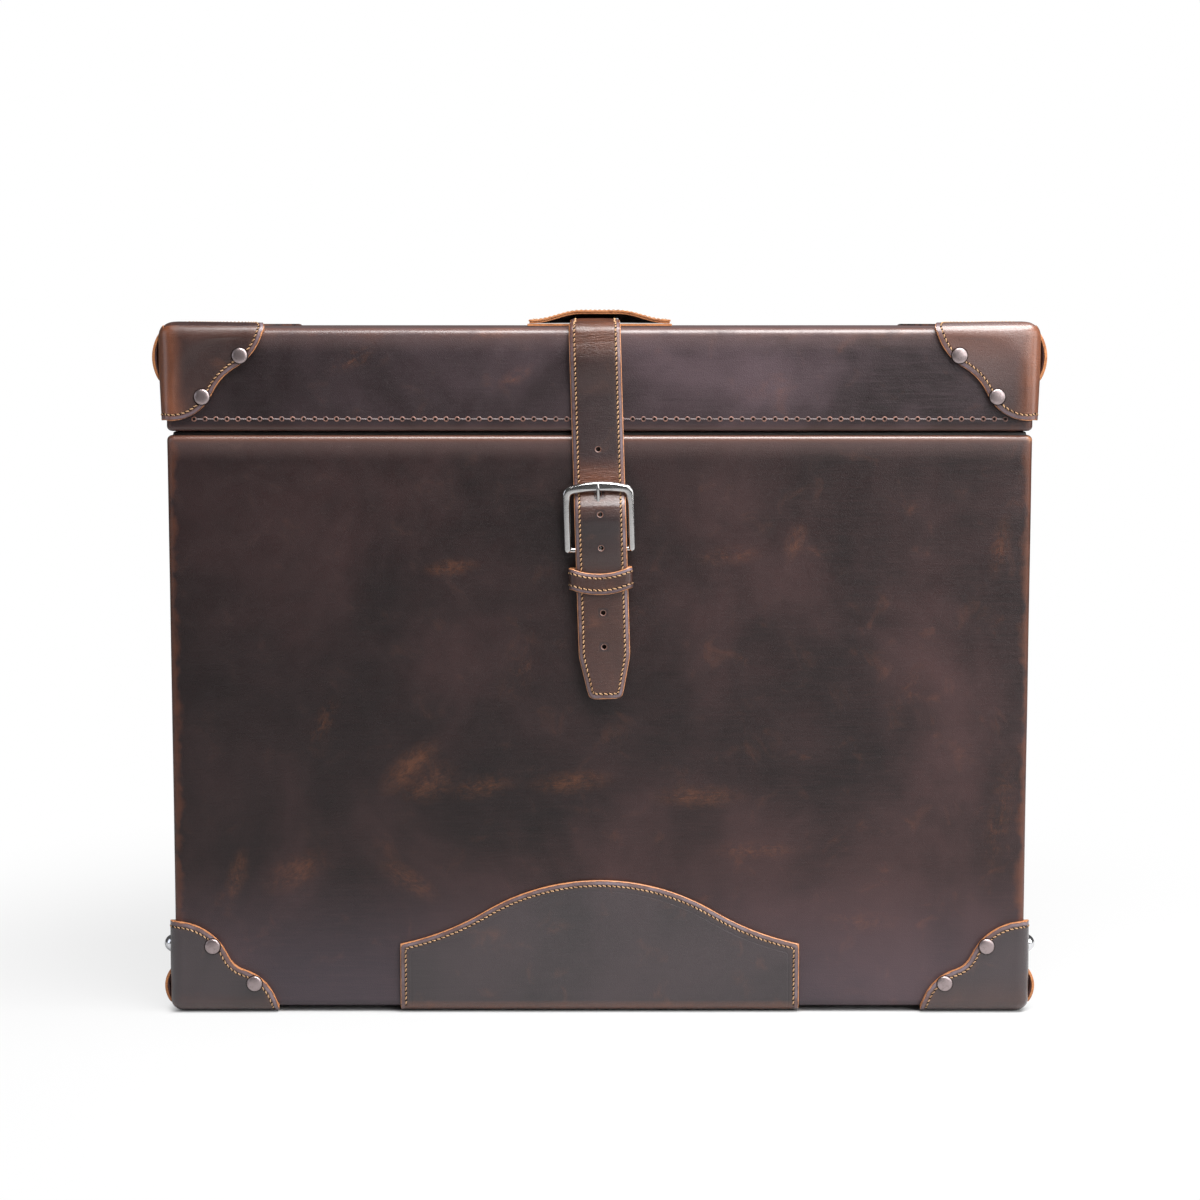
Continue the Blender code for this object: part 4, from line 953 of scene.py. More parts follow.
def add_stitches(bm, spots, radius, slant, cover):
    """Thread between neighbouring (point, normal) spots: it dips into a needle hole at each end."""
    shape = ((0.0, 0.55, -0.7), (0.14, 0.9, 0.1), (0.5, 1.0, 0.5), (0.86, 0.9, 0.1), (1.0, 0.55, -0.7))
    for (start, near), (end, far) in zip(spots, spots[1:]):
        normal = (near + far).normalized()
        run = end - start
        side = run.normalized().cross(normal).normalized()
        rings = []
        for share, width, lift in shape:
            centre = start + run * ((1 - cover) / 2 + cover * share)
            centre += side * radius * slant * (share - 0.5) * 2 + normal * radius * lift
            thick = radius * width
            rings.append(ring_round(bm, centre, side * thick, normal * thick * 0.8, 6))
        join_rings(bm, rings)
        bm.faces.new(rings[0])
        bm.faces.new(rings[-1][::-1])


def add_discs(bm, spots, radius, lift):
    """A dark needle hole at each spot, in the object's second material."""
    for place, normal in spots:
        side = normal.orthogonal().normalized()
        ring = ring_round(bm, place + normal * lift, side * radius, normal.cross(side) * radius, 8)
        bm.faces.new(ring).material_index = 1


def stitched(name, runs, thread=TRIM_THREAD):
    """All of a piece's seams as one object: thread, and dark holes under it."""
    radius, slant, hole = thread
    bm = bmesh.new()
    for spots in runs:
        add_stitches(bm, spots, radius, slant, STITCH_COVER)
        add_discs(bm, spots, hole, DISC_LIFT)
    return object_from(name, bm, thread_material("thread"), dark_void())


def add_turned(bm, profile, place, facing, sides, material=0):
    """Adds a round piece: (radius, height) points from its middle outwards."""
    turn = Vector((0, 0, 1)).rotation_difference(Vector(facing)).to_matrix()
    across, along, up = turn.transposed()
    rings = []
    for radius, height in profile:
        centre = Vector(place) + up * height
        if radius < 1e-6:
            rings.append([bm.verts.new(centre)] * sides)
        else:
            rings.append(ring_round(bm, centre, across * radius, along * radius, sides))
    join_rings(bm, rings, material)


# The case's hides


def case_ring(inset, radius, z):
    """Points and outward directions round a level section of the case."""
    across, along = HALF_WIDTH - inset - radius, HALF_DEPTH - inset - radius
    turns, columns, ranks = 7, 30, 12
    corners = []
    for quarter, (sx, sy) in enumerate(((1, 1), (-1, 1), (-1, -1), (1, -1))):
        arc = []
        for step in range(turns + 1):
            angle = math.radians(90 * (quarter + step / turns))
            out = Vector((math.cos(angle), math.sin(angle), 0))
            arc.append((Vector((sx * across, MIDDLE_Y + sy * along, z)) + out * radius, out))
        corners.append(arc)
    points = []
    for k, arc in enumerate(corners):
        points += arc
        start, end = arc[-1], corners[(k + 1) % 4][0]
        count = columns if k % 2 == 0 else ranks
        points += [(start[0].lerp(end[0], s / count), start[1]) for s in range(1, count)]
    return points


def hollowness(place, amount):
    """How far a hide lies below its true face: slow waves, never proud of it."""
    wave = noise.noise(place * 9.0) * 0.6 + noise.noise(place * 23.0 + Vector((7, 3, 5))) * 0.4
    return amount * (0.5 + 0.5 * wave)


def hide_sections(half, closed_z, open_z, wall):
    """Level sections of a hide: (inset, corner radius, height, share of the waves, distance to the rim)."""
    way = 1 if open_z > closed_z else -1
    across = wall + 2 * GLUE_LINE + 2 * SHELL_LEATHER
    sections = []

    def add(inset, z, radius=LEAST_RADIUS, edge=1.0, wave=0.0):
        sections.append((inset, max(radius, LEAST_RADIUS), z, wave, edge))

    for inset in (0.1185, 0.085, 0.055, 0.032, 0.018, 0.010):
        add(inset, closed_z, wave=0.8)
    for sine, cosine in quarter_turn(7):
        add(CORNER_RADIUS * (1 - sine), closed_z + way * CORNER_RADIUS * (1 - cosine),
            CORNER_RADIUS * sine, wave=0.25)
    low, high = closed_z + way * CORNER_RADIUS, open_z - way * RIM_RADIUS
    count = max(round(abs(high - low) / 0.018), 3)
    for k in range(1, count):
        z = low + (high - low) * k / count
        add(0.0, z, CORNER_RADIUS, abs(open_z - z), 1.0)
    for sine, cosine in quarter_turn(7):
        inset, z = RIM_RADIUS * (1 - cosine), high + way * RIM_RADIUS * sine
        add(inset, z, CORNER_RADIUS - inset, abs(open_z - z), 0.3)
    if half == "body":
        for inset, rise in JOINT_BEAD:
            add(inset, open_z + rise, BEAD_CORNER, IN_JOINT)
    for sine, cosine in quarter_turn(7)[::-1]:
        add(across - RIM_RADIUS * (1 - cosine), high + way * RIM_RADIUS * sine, edge=0.001)
    add(across, open_z - way * (across / 2 + TURN_IN), edge=0.0)
    return sections


def hide(half, closed_z, open_z, wall):
    """A hide wrapped over the boards: closed face, arris, walls, and the rim rolled over to its turn-in."""
    closed_face = Vector((0, 0, 1 if closed_z > open_z else -1))
    rows = []
    for inset, radius, z, wave, edge in hide_sections(half, closed_z, open_z, wall):
        row = []
        flat = inset > CORNER_RADIUS and abs(z - closed_z) < 1e-6
        for place, out in case_ring(inset, radius, z):
            place = place - (closed_face if flat else out) * hollowness(place, HIDE_WAVE) * wave
            # The bead's points get a hole value of 0, which the hide's material reads to paint shadow on the
            # bead
            row.append({"place": place, "edge": edge, "hole": 0.0 if edge == IN_JOINT else 1.0})
        rows.append(row)
    centre = Vector((0, MIDDLE_Y, (closed_z + open_z) / 2))

    def off_side(face):
        middle = face.calc_center_median()
        return face.normal.dot(middle - centre) if abs(abs(middle.x) - HALF_WIDTH) < 0.001 else 0

    bm = skin(rows, closed=True, closing=True, outward=off_side)
    obj = leather_piece(f"{half}_hide", bm, SHELL_LEATHER, hide_material(half), raw_leather(), arris=0.0004)
    return settle(obj, half, (f"{half}_leather",))


def lid_seam(lid):
    """A line of thread low on the lid, through punched holes with raised lips."""
    threads = bpy.context.scene.trunk_threads
    radius, slant, hole = LID_THREAD
    tree = surface_tree(lid)
    z = LID_EDGE + threads.lid_seam_height
    end, near, far = HALF_WIDTH - LID_SEAM_CLEAR, FRONT + LID_SEAM_CLEAR, BACK - LID_SEAM_CLEAR
    inner, outer = HINGE_X - HINGE_CLEAR, HINGE_X + HINGE_CLEAR
    lines = (
        ((-end, FRONT), (end, FRONT), (0, -1, 0)),
        ((HALF_WIDTH, near), (HALF_WIDTH, far), (1, 0, 0)),
        ((-HALF_WIDTH, near), (-HALF_WIDTH, far), (-1, 0, 0)),
        ((-end, BACK), (-outer, BACK), (0, 1, 0)),
        ((-inner, BACK), (inner, BACK), (0, 1, 0)),
        ((outer, BACK), (end, BACK), (0, 1, 0)),
    )
    bm, lips = bmesh.new(), bmesh.new()
    for start, finish, out in lines:
        path = [Vector((*start, z)), Vector((*finish, z))]
        spots = [dropped(tree, p, Vector(out)) for p in even_points(path, threads.lid_seam_pitch)]
        add_stitches(bm, spots, radius, slant, LID_COVER)
        add_discs(bm, spots, hole, LID_DISC_LIFT)
        for place, normal in spots:
            add_turned(lips, LIP, place, normal, 12)
    settle(object_from("lid_seam_thread", bm, thread_material("seam_thread"), dark_void()), "lid")
    settle(object_from("lid_seam_lips", lips, lip_material()), "lid")


@built_once
def lip_material():
    """Leather pushed up round a needle hole, where its dressing has cracked to the tan beneath."""
    tones = bpy.context.scene.trunk_leather
    made, tree, shader = surface("seam_lip", Specular_IOR_Level=0.5)
    patchy = clouds(tree, object_place(tree), 330.0, 3.0, 0.6)
    cracked = eased(tree, patchy, 0.35, 0.65, 0.15, 0.9)
    colour = mixed(tree, cracked, opaque(tones.hide_light), opaque(tones.lip))
    feed(tree, shader, colour, eased(tree, patchy, 0.3, 0.7, 0.35, 0.55), patchy, 0.3, 0.0002)
    return made


# Corner caps


def meeting_circle(first, second, radius, side):
    """Centre of the circle that touches two others from outside, on the given side of their line."""
    a, b = Vector(first[:2]), Vector(second[:2])
    reach_a, reach_b = first[2] + radius, second[2] + radius
    gap = (b - a).length
    along = (reach_a ** 2 - reach_b ** 2 + gap ** 2) / (2 * gap)
    out = math.sqrt(reach_a ** 2 - along ** 2)
    direction = (b - a) / gap
    return a + direction * along + Vector((-direction.y, direction.x)) * out * side


def sweep(centre, radius, start, end, steps):
    """Points on a circle from one direction to another, the short way round."""
    first = math.atan2(start.y, start.x)
    turn = (math.atan2(end.y, end.x) - first + math.pi) % (2 * math.pi) - math.pi
    angles = (first + turn * k / steps for k in range(steps + 1))
    return [Vector(centre) + radius * Vector((math.cos(a), math.sin(a))) for a in angles]


def cap_outline(long_lobe, upright_lobe, waist):
    """The free edge of one wing, from the arris that runs along it to the one that runs down it."""
    hollow = meeting_circle(long_lobe, upright_lobe, waist, -1)
    a, b = Vector(long_lobe[:2]), Vector(upright_lobe[:2])
    start = Vector((math.sqrt(long_lobe[2] ** 2 - a.y ** 2), -a.y))
    finish = Vector((-b.x, math.sqrt(upright_lobe[2] ** 2 - b.x ** 2)))
    steps = 32
    points = sweep(a, long_lobe[2], start, hollow - a, steps)
    points += sweep(hollow, waist, a - hollow, b - hollow, steps)[1:]
    points += sweep(b, upright_lobe[2], hollow - b, finish, steps)[1:]
    return points, steps + steps // 2


def walked(points, knots, axis):
    """Points on a line where one coordinate reaches the knots, then evenly along the rest."""
    found, index = [], 0
    near = [k for k in knots if k <= CAP_RADIUS * 1.001]
    for level in near:
        while index < len(points) - 2 and points[index + 1][axis] < level:
            index += 1
        p, q = points[index], points[index + 1]
        share = (level - p[axis]) / max(q[axis] - p[axis], 1e-9)
        found.append(p.lerp(q, min(max(share, 0), 1)))
    rest = [found[-1]] + points[index + 1:]
    more = len(knots) - len(near)
    lengths = [0.0]
    for p, q in zip(rest, rest[1:]):
        lengths.append(lengths[-1] + (q - p).length)
    for step in range(1, more + 1):
        target = lengths[-1] * step / more
        k = max(i for i in range(len(rest) - 1) if lengths[i] <= target + 1e-12)
        span = max(lengths[k + 1] - lengths[k], 1e-9)
        found.append(rest[k].lerp(rest[k + 1], (target - lengths[k]) / span))
    return found


def edge_knots(reach):
    """Distances from a corner: close together round the arris, then even."""
    turns, cells = 6, 12
    near = [CAP_RADIUS * (1 - math.tan(math.pi / 4 * (1 - t / turns))) for t in range(turns + 1)]
    return near + [CAP_RADIUS + (reach - CAP_RADIUS) * k / cells for k in range(1, cells + 1)]


@built_once
def wing(long_lobe, upright_lobe, waist):
    """A grid over one wing: (point, freedom, distance to the free edge), and its outline."""
    outline, middle = cap_outline(long_lobe, upright_lobe, waist)
    along, down = edge_knots(outline[0].x), edge_knots(outline[-1].y)
    far_along = walked(outline[:middle + 1], down, 1)
    far_down = walked(outline[middle:][::-1], along, 0)
    grid, freedom = [], []
    for i, u in enumerate(along):
        s, column, free = u / along[-1], [], []
        for j, v in enumerate(down):
            t = v / down[-1]
            flat = Vector((u, 0)) * (1 - t) + far_down[i] * t
            upright = Vector((0, v)) * (1 - s) + far_along[j] * s
            both = (
                Vector((along[-1], 0)) * s * (1 - t) + Vector((0, down[-1])) * (1 - s) * t
                + outline[middle] * s * t
            )
            column.append(flat + upright - both)
            free.append((1 - s * s) * (1 - t * t))
        grid.append(column)
        freedom.append(free)
    first = sum(1 for k in down if k <= CAP_RADIUS * 1.001)
    pull = 1.6
    for _ in range(60):
        for i in range(first, len(grid) - 1):
            for j in range(first, len(grid[0]) - 1):
                near = grid[i - 1][j] + grid[i][j - 1]
                far = grid[i + 1][j] + grid[i][j + 1]
                grid[i][j] = (near * pull + far) / (2 * pull + 2)
    distances = [[min((point - edge).length for edge in outline) for point in column] for column in grid]
    return grid, freedom, distances, outline


class CapForm:
    """Where the points of a cap's three wings lie on one corner of the case."""

    def __init__(self, sx, sy, top, bulge, swell, pillow):
        reach = SEAT + CAP_LEATHER
        self.corner = Vector((
            sx * (HALF_WIDTH + reach), MIDDLE_Y + sy * (HALF_DEPTH + reach),
            LID_TOP + reach if top else 0.0,
        ))
        self.inward = Vector((-sx, -sy, -1 if top else 1))
        self.core = self.corner + self.inward * CAP_RADIUS
        self.top, self.bulge, self.swell, self.pillow = top, bulge, swell, pillow
        self.skived = top and sy > 0

    def place(self, first, second, u, v, freedom=0.0):
        """The point, and its outward direction, at (u, v) on the wing that spans two axes."""
        flat = self.corner.copy()
        flat[first] += self.inward[first] * u
        flat[second] += self.inward[second] * v
        out = Vector([
            -self.inward[k] * min(max((flat[k] - self.core[k]) * -self.inward[k], 0), CAP_RADIUS)
            for k in range(3)
        ])
        normal = out.normalized()
        near_edge = 1 - blended(0, 1, min(u, v) / self.swell)
        padded = blended(0, 1, u / PILLOW_REACH) * blended(0, 1, v / PILLOW_REACH)
        lift = normal * (self.bulge * freedom * near_edge + self.pillow * freedom ** 2 * padded)
        if second == 1:
            lift *= 0.0 if self.skived else TOP_WING_SWELL
        if not self.top:
            lift.z = 0
        place = flat - out + normal * CAP_RADIUS + lift
        if self.skived:
            place.z -= max(place.z - LID_TOP, 0) * SKIVED
        return place, normal


def inset_line(outline, distance):
    """A line inside the outline, kept off it by a distance."""
    found = []
    for k, point in enumerate(outline):
        near, far = outline[max(k - 1, 0)], outline[min(k + 1, len(outline) - 1)]
        along = (far - near).normalized()
        found.append(point + Vector((-along.y, along.x)) * distance)
    return found


def cap_wear_and_sheen(sx, top, on_side, u, v):
    """How rubbed a cap is: towards its corner, and on the lid along the upright arris too; the right caps get
    more, which is partly painted highlight.
    """
    on_lid, on_base, reach = CAP_RUBBING_AND_SHEEN[sx]
    rubbed = (on_lid if top else on_base) * blended(1, 0, (v if on_side else u) / reach)
    if top and on_side:
        rubbed = max(blended(1, 0, (u - 0.004) / 0.016), rubbed)
    return rubbed


def add_wing(bm, verts):
    """Faces over a wing's grid of points, with the last cell cut across its corner."""
    last = len(verts[0]) - 2
    for near, ahead in zip(verts, verts[1:]):
        for j in range(last + 1):
            if ahead is verts[-1] and j == last:
                bm.faces.new((near[j], ahead[j], ahead[j + 1]))
                bm.faces.new((near[j], ahead[j + 1], near[j + 1]))
            else:
                bm.faces.new((near[j], ahead[j], ahead[j + 1], near[j + 1]))


def corner_cap(name, body, sx, sy, top, form):
    """A moulded cap of three wings over one corner, stitched round its free edge."""
    threads = bpy.context.scene.trunk_threads
    long = form["long"]
    sides = wing(long, form["upright"], form["waist"])
    flat = wing(long, (long[1], long[0], long[2]), form["waist"])
    shape = CapForm(sx, sy, top, form["bulge"], form["reach"], form["pillow"])
    bm, layers = new_skin()
    lines = []
    for first, second, (grid, freedom, distances, outline) in ((0, 2, sides), (1, 2, sides), (0, 1, flat)):
        on_side = second == 2
        verts = []
        for column, free, far in zip(grid, freedom, distances):
            row = []
            for (u, v), share, distance in zip(column, free, far):
                place, _ = shape.place(first, second, u, v, share)
                row.append(new_point(bm, layers, place, distance, cap_wear_and_sheen(sx, top, on_side, u, v)))
            verts.append(row)
        add_wing(bm, verts)
        if on_side or (top and sy < 0):
            lines.append((first, second, inset_line(outline, threads.cap_seam_inset)))
    bmesh.ops.remove_doubles(bm, verts=bm.verts, dist=0.00002)
    face_outward(bm, lambda face: face.normal.dot(face.calc_center_median() - shape.core))
    made, tone = ("cap_hide", "trim") if top else ("base_cap_hide", "patch")
    leather = trim_leather(made, "object", threads.cap_seam_inset, RAW_LINE, tone)
    cut = raw_leather() if sy < 0 else dressed_edge()
    obj = leather_piece(name + "_skin", bm, CAP_LEATHER, leather, cut, arris=0.0007)
    tree = surface_tree(obj)
    runs = []
    for first, second, line in lines:
        path = [Vector((p.x, p.y, 0)) for p in line if p.x > 0.0005 and p.y > 0.0005]
        places = (shape.place(first, second, p.x, p.y) for p in even_points(path, threads.pitch))
        runs.append([dropped(tree, place, normal) for place, normal in places])
    settle(obj, body, (name,))
    settle(stitched(name + "_stitches", runs), body)


def side_flap(name, body, sx, low_z, high_z, stand_off, depth):
    """The folded end of a cap's side wing: a lens of leather that gapes from the case at its front edge."""
    steps, ranks, lift = 18, 8, 0.0004
    base = HALF_WIDTH + SEAT + CAP_LEATHER
    front = FRONT - SEAT - CAP_LEATHER + FOLD_BACK
    out = Vector((sx * 0.9, -0.4, 0)).normalized()
    rows, spots = [], []
    for i in range(steps + 1):
        share = i / steps
        z = low_z + (high_z - low_z) * share
        rise = math.sin(math.pi * min(share * 1.02, 1)) ** 0.7 if 0 < share < 1 else 0.0
        row = []
        for j in range(ranks + 1):
            t = j / ranks
            x = base + lift + (stand_off - lift) * rise * (1 - t) ** 1.6
            y = front + depth * t * (0.55 + 0.45 * rise)
            row.append({"place": Vector((sx * x, y, z)), "edge": depth * t, "worn": 0.55 * (1 - t)})
        rows.append(row)
        if 0.12 < share < 0.9:
            spots.append(Vector((sx * (base + stand_off * rise * 0.80), front + 0.003, z)))
    bm = skin(rows, outward=lambda face: face.normal.dot(Vector((sx, 0, 0))))
    leather = trim_leather("fold_hide", "object", FOLD_SEAM, FINE_RAW_LINE, "trim")
    obj = leather_piece(name, bm, FOLD_LEATHER, leather, raw_leather())
    settle(obj, body)
    tree = surface_tree(obj)
    settle(stitched(name + "_stitches", [[dropped(tree, place, out) for place in spots]]), body)


# Patch


def patch_top(x):
    """Height of the arched patch: a round crown that flows into hollow shoulders."""
    low = Vector((0, PATCH_CROWN - PATCH_CROWN_RADIUS))
    near = (low.x, low.y, PATCH_CROWN_RADIUS)
    end = (PATCH_HALF_WIDTH, PATCH_SHOULDER, 0.0)
    hollow = meeting_circle(near, end, PATCH_SHOULDER_RADIUS, 1)
    touch = low + (hollow - low).normalized() * PATCH_CROWN_RADIUS
    x = abs(x)
    if x < touch.x:
        return low.y + math.sqrt(PATCH_CROWN_RADIUS ** 2 - x * x)
    return hollow.y - math.sqrt(PATCH_SHOULDER_RADIUS ** 2 - (x - hollow.x) ** 2)


def arched_patch():
    """The patch on the front, bent under the foot of the case, with a seam along its arch and sides."""
    threads = bpy.context.scene.trunk_threads
    columns, levels, inset = 96, 16, threads.cap_seam_inset
    xs = [PATCH_HALF_WIDTH * (2 * k / columns - 1) for k in range(columns + 1)]
    front = FRONT - SEAT - PATCH_LEATHER
    radius = CORNER_RADIUS + SEAT + PATCH_LEATHER
    bend_z = BODY_FLOOR + CORNER_RADIUS
    crown = [Vector((x, patch_top(x))) for x in xs]
    rows = []
    for i in range(levels + 1):
        share = (i / levels) ** 1.3
        row = []
        for x, top in crown:
            z = top + (bend_z - top) * share
            place = Vector((x, front - 0.0003 * math.sin(math.pi * share), z))
            edge = min(min((Vector((x, z)) - p).length for p in crown), PATCH_HALF_WIDTH - abs(x))
            row.append({"place": place, "edge": edge})
        rows.append(row)
    for sine, cosine in quarter_turn(8)[1:]:
        y, z = front + radius * (1 - cosine), bend_z - radius * sine
        rows.append([
            {"place": Vector((x, y, z)), "edge": PATCH_HALF_WIDTH - abs(x), "worn": 1.1 * sine * cosine}
            for x in xs
        ])
    rows.append([
        {"place": Vector((x, FRONT + PATCH_UNDER, bend_z - radius)), "edge": 0.0, "worn": 0.2} for x in xs
    ])
    bm = skin(rows, outward=lambda face: face.normal.dot(Vector((0, -1, -0.3))))
    leather = trim_leather("patch_hide", "object", inset, RAW_LINE, "patch")
    obj = leather_piece("front_patch_skin", bm, PATCH_LEATHER, leather, raw_leather())
    side = PATCH_HALF_WIDTH - inset
    ends = [0.0060, patch_top(side) - inset * 0.9]
    path = [Vector((-side, 0, z)) for z in ends]
    inner = [Vector((p.x, 0, p.y)) for p in crown]
    for k in range(1, len(inner) - 1):
        along = (inner[k + 1] - inner[k - 1]).normalized()
        point = inner[k] + Vector((along.z, 0, -along.x)) * inset
        if abs(point.x) < side - 0.001:
            path.append(point)
    path += [Vector((side, 0, z)) for z in ends[::-1]]
    tree = surface_tree(obj)
    out = Vector((0, -1, 0))
    spots = [dropped(tree, Vector((p.x, front, p.z)), out) for p in even_points(path, threads.pitch)]
    settle(obj, "body", ("front_patch",))
    settle(stitched("front_patch_stitches", [spots]), "body")


# Strap


def strap_stand_off(z):
    """How far the back of the strap stands from the case at each height."""
    if z >= STRAP_RUN[0][0]:
        bow = blended(0, 1, (STRAP_TOP_Z - z) / 0.017) * blended(1, 0, (STRAP_TOP_Z - 0.017 - z) / 0.030)
        return STRAP_RUN[0][1] + STRAP_BOW * bow
    for (high, near), (low, far) in zip(STRAP_RUN, STRAP_RUN[1:]):
        if z >= low:
            return blended(near, far, (high - z) / (high - low))
    return STRAP_RUN[-1][1]


def strap_centre(z):
    """The strap's centre line leans to the right as it hangs."""
    return STRAP_TOP_X + max(STRAP_TOP_Z - z, 0) * math.tan(STRAP_LEAN)


def strap_half(z):
    """Half the strap's width at a height: it tapers to its tip and ends in a curve."""
    share = min(max((z - STRAP_TIP_Z) / STRAP_TAPER, 0), 1)
    width = STRAP_TIP_HALF + (STRAP_HALF - STRAP_TIP_HALF) * share
    curve = min((z - STRAP_TIP_Z) / 0.004, 1)
    return width - 0.004 * (1 - math.sqrt(max(1 - (1 - curve) ** 2, 0)))


def strap_path():
    """The line of the strap's back, from its rear end over the lid and down the front: (y, z)."""
    rear, pad = MIDDLE_Y + HALF_DEPTH - STRAP_REAR_MARGIN, GRIP_HALF_DEPTH
    ramp, level = 0.012, LID_TOP + SEAT
    path = []

    def run(y0, y1, z0, z1, step=0.006):
        count = max(round(abs(y1 - y0) / step), 1)
        for k in range(count):
            share = k / count
            path.append((y0 + (y1 - y0) * share, blended(z0, z1, share)))

    run(rear, MIDDLE_Y + pad + ramp, level, level)
    run(MIDDLE_Y + pad + ramp, MIDDLE_Y + pad, level, level + PAD_RISE, 0.002)
    run(MIDDLE_Y + pad, MIDDLE_Y - pad, level + PAD_RISE, level + PAD_RISE)
    run(MIDDLE_Y - pad, MIDDLE_Y - pad - ramp, level + PAD_RISE, level, 0.002)
    run(MIDDLE_Y - pad - ramp, FRONT + CORNER_RADIUS, level, level)
    radius = CORNER_RADIUS + SEAT
    for sine, cosine in quarter_turn(10)[:-1]:
        path.append((FRONT + CORNER_RADIUS - radius * sine, STRAP_TOP_Z + radius * cosine))
    cuts = [(z - HOLE_CELL, z + HOLE_CELL) for z in STRAP_HOLES]
    cuts.append((PRONG_SLOT[0] - SLOT_CELL, PRONG_SLOT[0] + SLOT_CELL))
    z = STRAP_TOP_Z
    levels = []
    while z > STRAP_TIP_Z + 0.001:
        if not any(low - 0.0008 < z < high + 0.0008 for low, high in cuts):
            levels.append(z)
        z -= 0.0025 if HEEL_Z < z < DIVE_Z + 0.006 else 0.0040
    levels += [edge for cut in cuts for edge in cut]
    levels += [STRAP_TIP_Z + d for d in (0.0024, 0.0013, 0.0005, 0.0)]
    for z in sorted(set(round(v, 6) for v in levels), reverse=True):
        path.append((FRONT - strap_stand_off(z), z))
    return path


# Heights where the strap is rubbed: over the lid from here up, at its bend, and where the buckle pulls
STRAP_RUBBED = 0.465
STRAP_BEND = 0.488
STRAP_PULLED = 0.398


def strap_wear(point):
    """How rubbed the strap is: over the lid, at the bend, where the buckle pulls, and above its tip."""
    if point.y >= FRONT + 0.0005:
        return 0.45 if point.z > STRAP_RUBBED else 0.0
    bend = blended(0.05, 0.50, (point.z - STRAP_BEND) / 0.020) if point.z > STRAP_RUBBED else 0.0
    pulled = 0.75 * blended(1, 0, abs(point.z - STRAP_PULLED) / 0.024)
    tip = 0.16 * blended(1, 0, (point.z - STRAP_TIP_Z - 0.070) / 0.060)
    return max(bend, pulled, tip)


def strap_seams(tree, sections, pitch, inset):
    """Stitches down both sides of the strap and across its tip, dropped on its face."""
    runs, ends = [], []
    for side in (-1, 1):
        line = []
        for centre, half, point, normal, lean in sections:
            middle = Vector((centre, point.y, point.z))
            line.append(middle + lean * (half - inset) * side + normal * STRAP_LEATHER)
        path = line[1:-5]
        spots = []
        for spot in even_points(path, pitch):
            k = min(range(len(path)), key=lambda n: (path[n] - spot).length)
            spots.append(dropped(tree, spot, sections[k + 1][3]))
        runs.append(spots)
        ends.append(path[-1])
    tip_y, tip_out = sections[-5][2].y, sections[-5][3]
    z = STRAP_TIP_Z + inset
    corners = [
        Vector((strap_centre(z) + side * (STRAP_TIP_HALF - inset), tip_y, z)) for side in (-1, 1)
    ]
    tip = [ends[0], *corners, ends[1]]
    runs.append([dropped(tree, p, tip_out) for p in even_points(tip, pitch)])
    return runs


def strap():
    """The strap in one length, which bends at the lid's front edge where its front run lifts."""
    threads = bpy.context.scene.trunk_threads
    back = [Vector((0, y, z)) for y, z in strap_path()]
    face = [(-share, lift) for share, lift in STRAP_FACE[::-1]] + list(STRAP_FACE)
    middle_cell = len(STRAP_FACE) - 1
    cells = {round(z + HOLE_CELL, 6): (HOLE_RADIUS, HOLE_RADIUS) for z in STRAP_HOLES}
    cells[round(PRONG_SLOT[0] + SLOT_CELL, 6)] = (*PRONG_SLOT[1:], BUCKLE_OFFSET)
    rows, holes, sections, length = [], {}, [], 0.0
    for k, point in enumerate(back):
        near, far = back[max(k - 1, 0)], back[min(k + 1, len(back) - 1)]
        if k:
            length += (point - back[k - 1]).length
        along = (far - near).normalized()
        normal = Vector((0, along.z, -along.y)).normalized()
        z = min(point.z, STRAP_TOP_Z) if point.y < FRONT + 0.004 else STRAP_TOP_Z
        centre, half = strap_centre(z), strap_half(z)
        lean = Vector((1, 0, math.tan(STRAP_LEAN) if point.y < FRONT + 0.001 else 0)).normalized()
        on_front = point.y < FRONT + 0.0005
        worn = strap_wear(point)
        tip_edge = (back[-1] - point).length if on_front else 1.0
        rear_edge = (back[0] - point).length
        row = []
        for share, lift in face:
            spread = lean * half * share
            row.append({
                "place": Vector((centre, point.y, point.z)) + spread + normal * (STRAP_LEATHER + lift),
                "edge": min(half * (1 - abs(share)), tip_edge, rear_edge),
                "worn": worn, "flat": (half * share, 0, length),
            })
        rows.append(row)
        sections.append((centre, half, point, normal, lean))
        if on_front and round(point.z, 6) in cells:
            holes[k, middle_cell] = cells[round(point.z, 6)]
    bm = skin(rows, holes=holes, outward=lambda face: face.normal.dot(Vector((0, -0.6, 0.4))))
    leather = trim_leather("strap_hide", "flat", threads.strap_seam_inset, FINE_RAW_LINE, "strap")
    obj = leather_piece("strap_band", bm, STRAP_LEATHER, leather, raw_leather())
    runs = strap_seams(surface_tree(obj), sections, threads.pitch, threads.strap_seam_inset)
    thread = stitched("strap_stitches", runs, STRAP_THREAD)
    for piece in (obj, thread):
        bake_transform(piece)
    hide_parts("strap_top", "strap_front")


# Buckle


def heel_frame():
    """The matrix from the heel bar's own axes to the trunk's."""
    centre = Vector((strap_centre(HEEL_Z) + BUCKLE_OFFSET, FRONT - HEEL_STAND_OFF, HEEL_Z))
    return Matrix.Translation(centre) @ Matrix.Rotation(-STRAP_LEAN, 4, "Y")


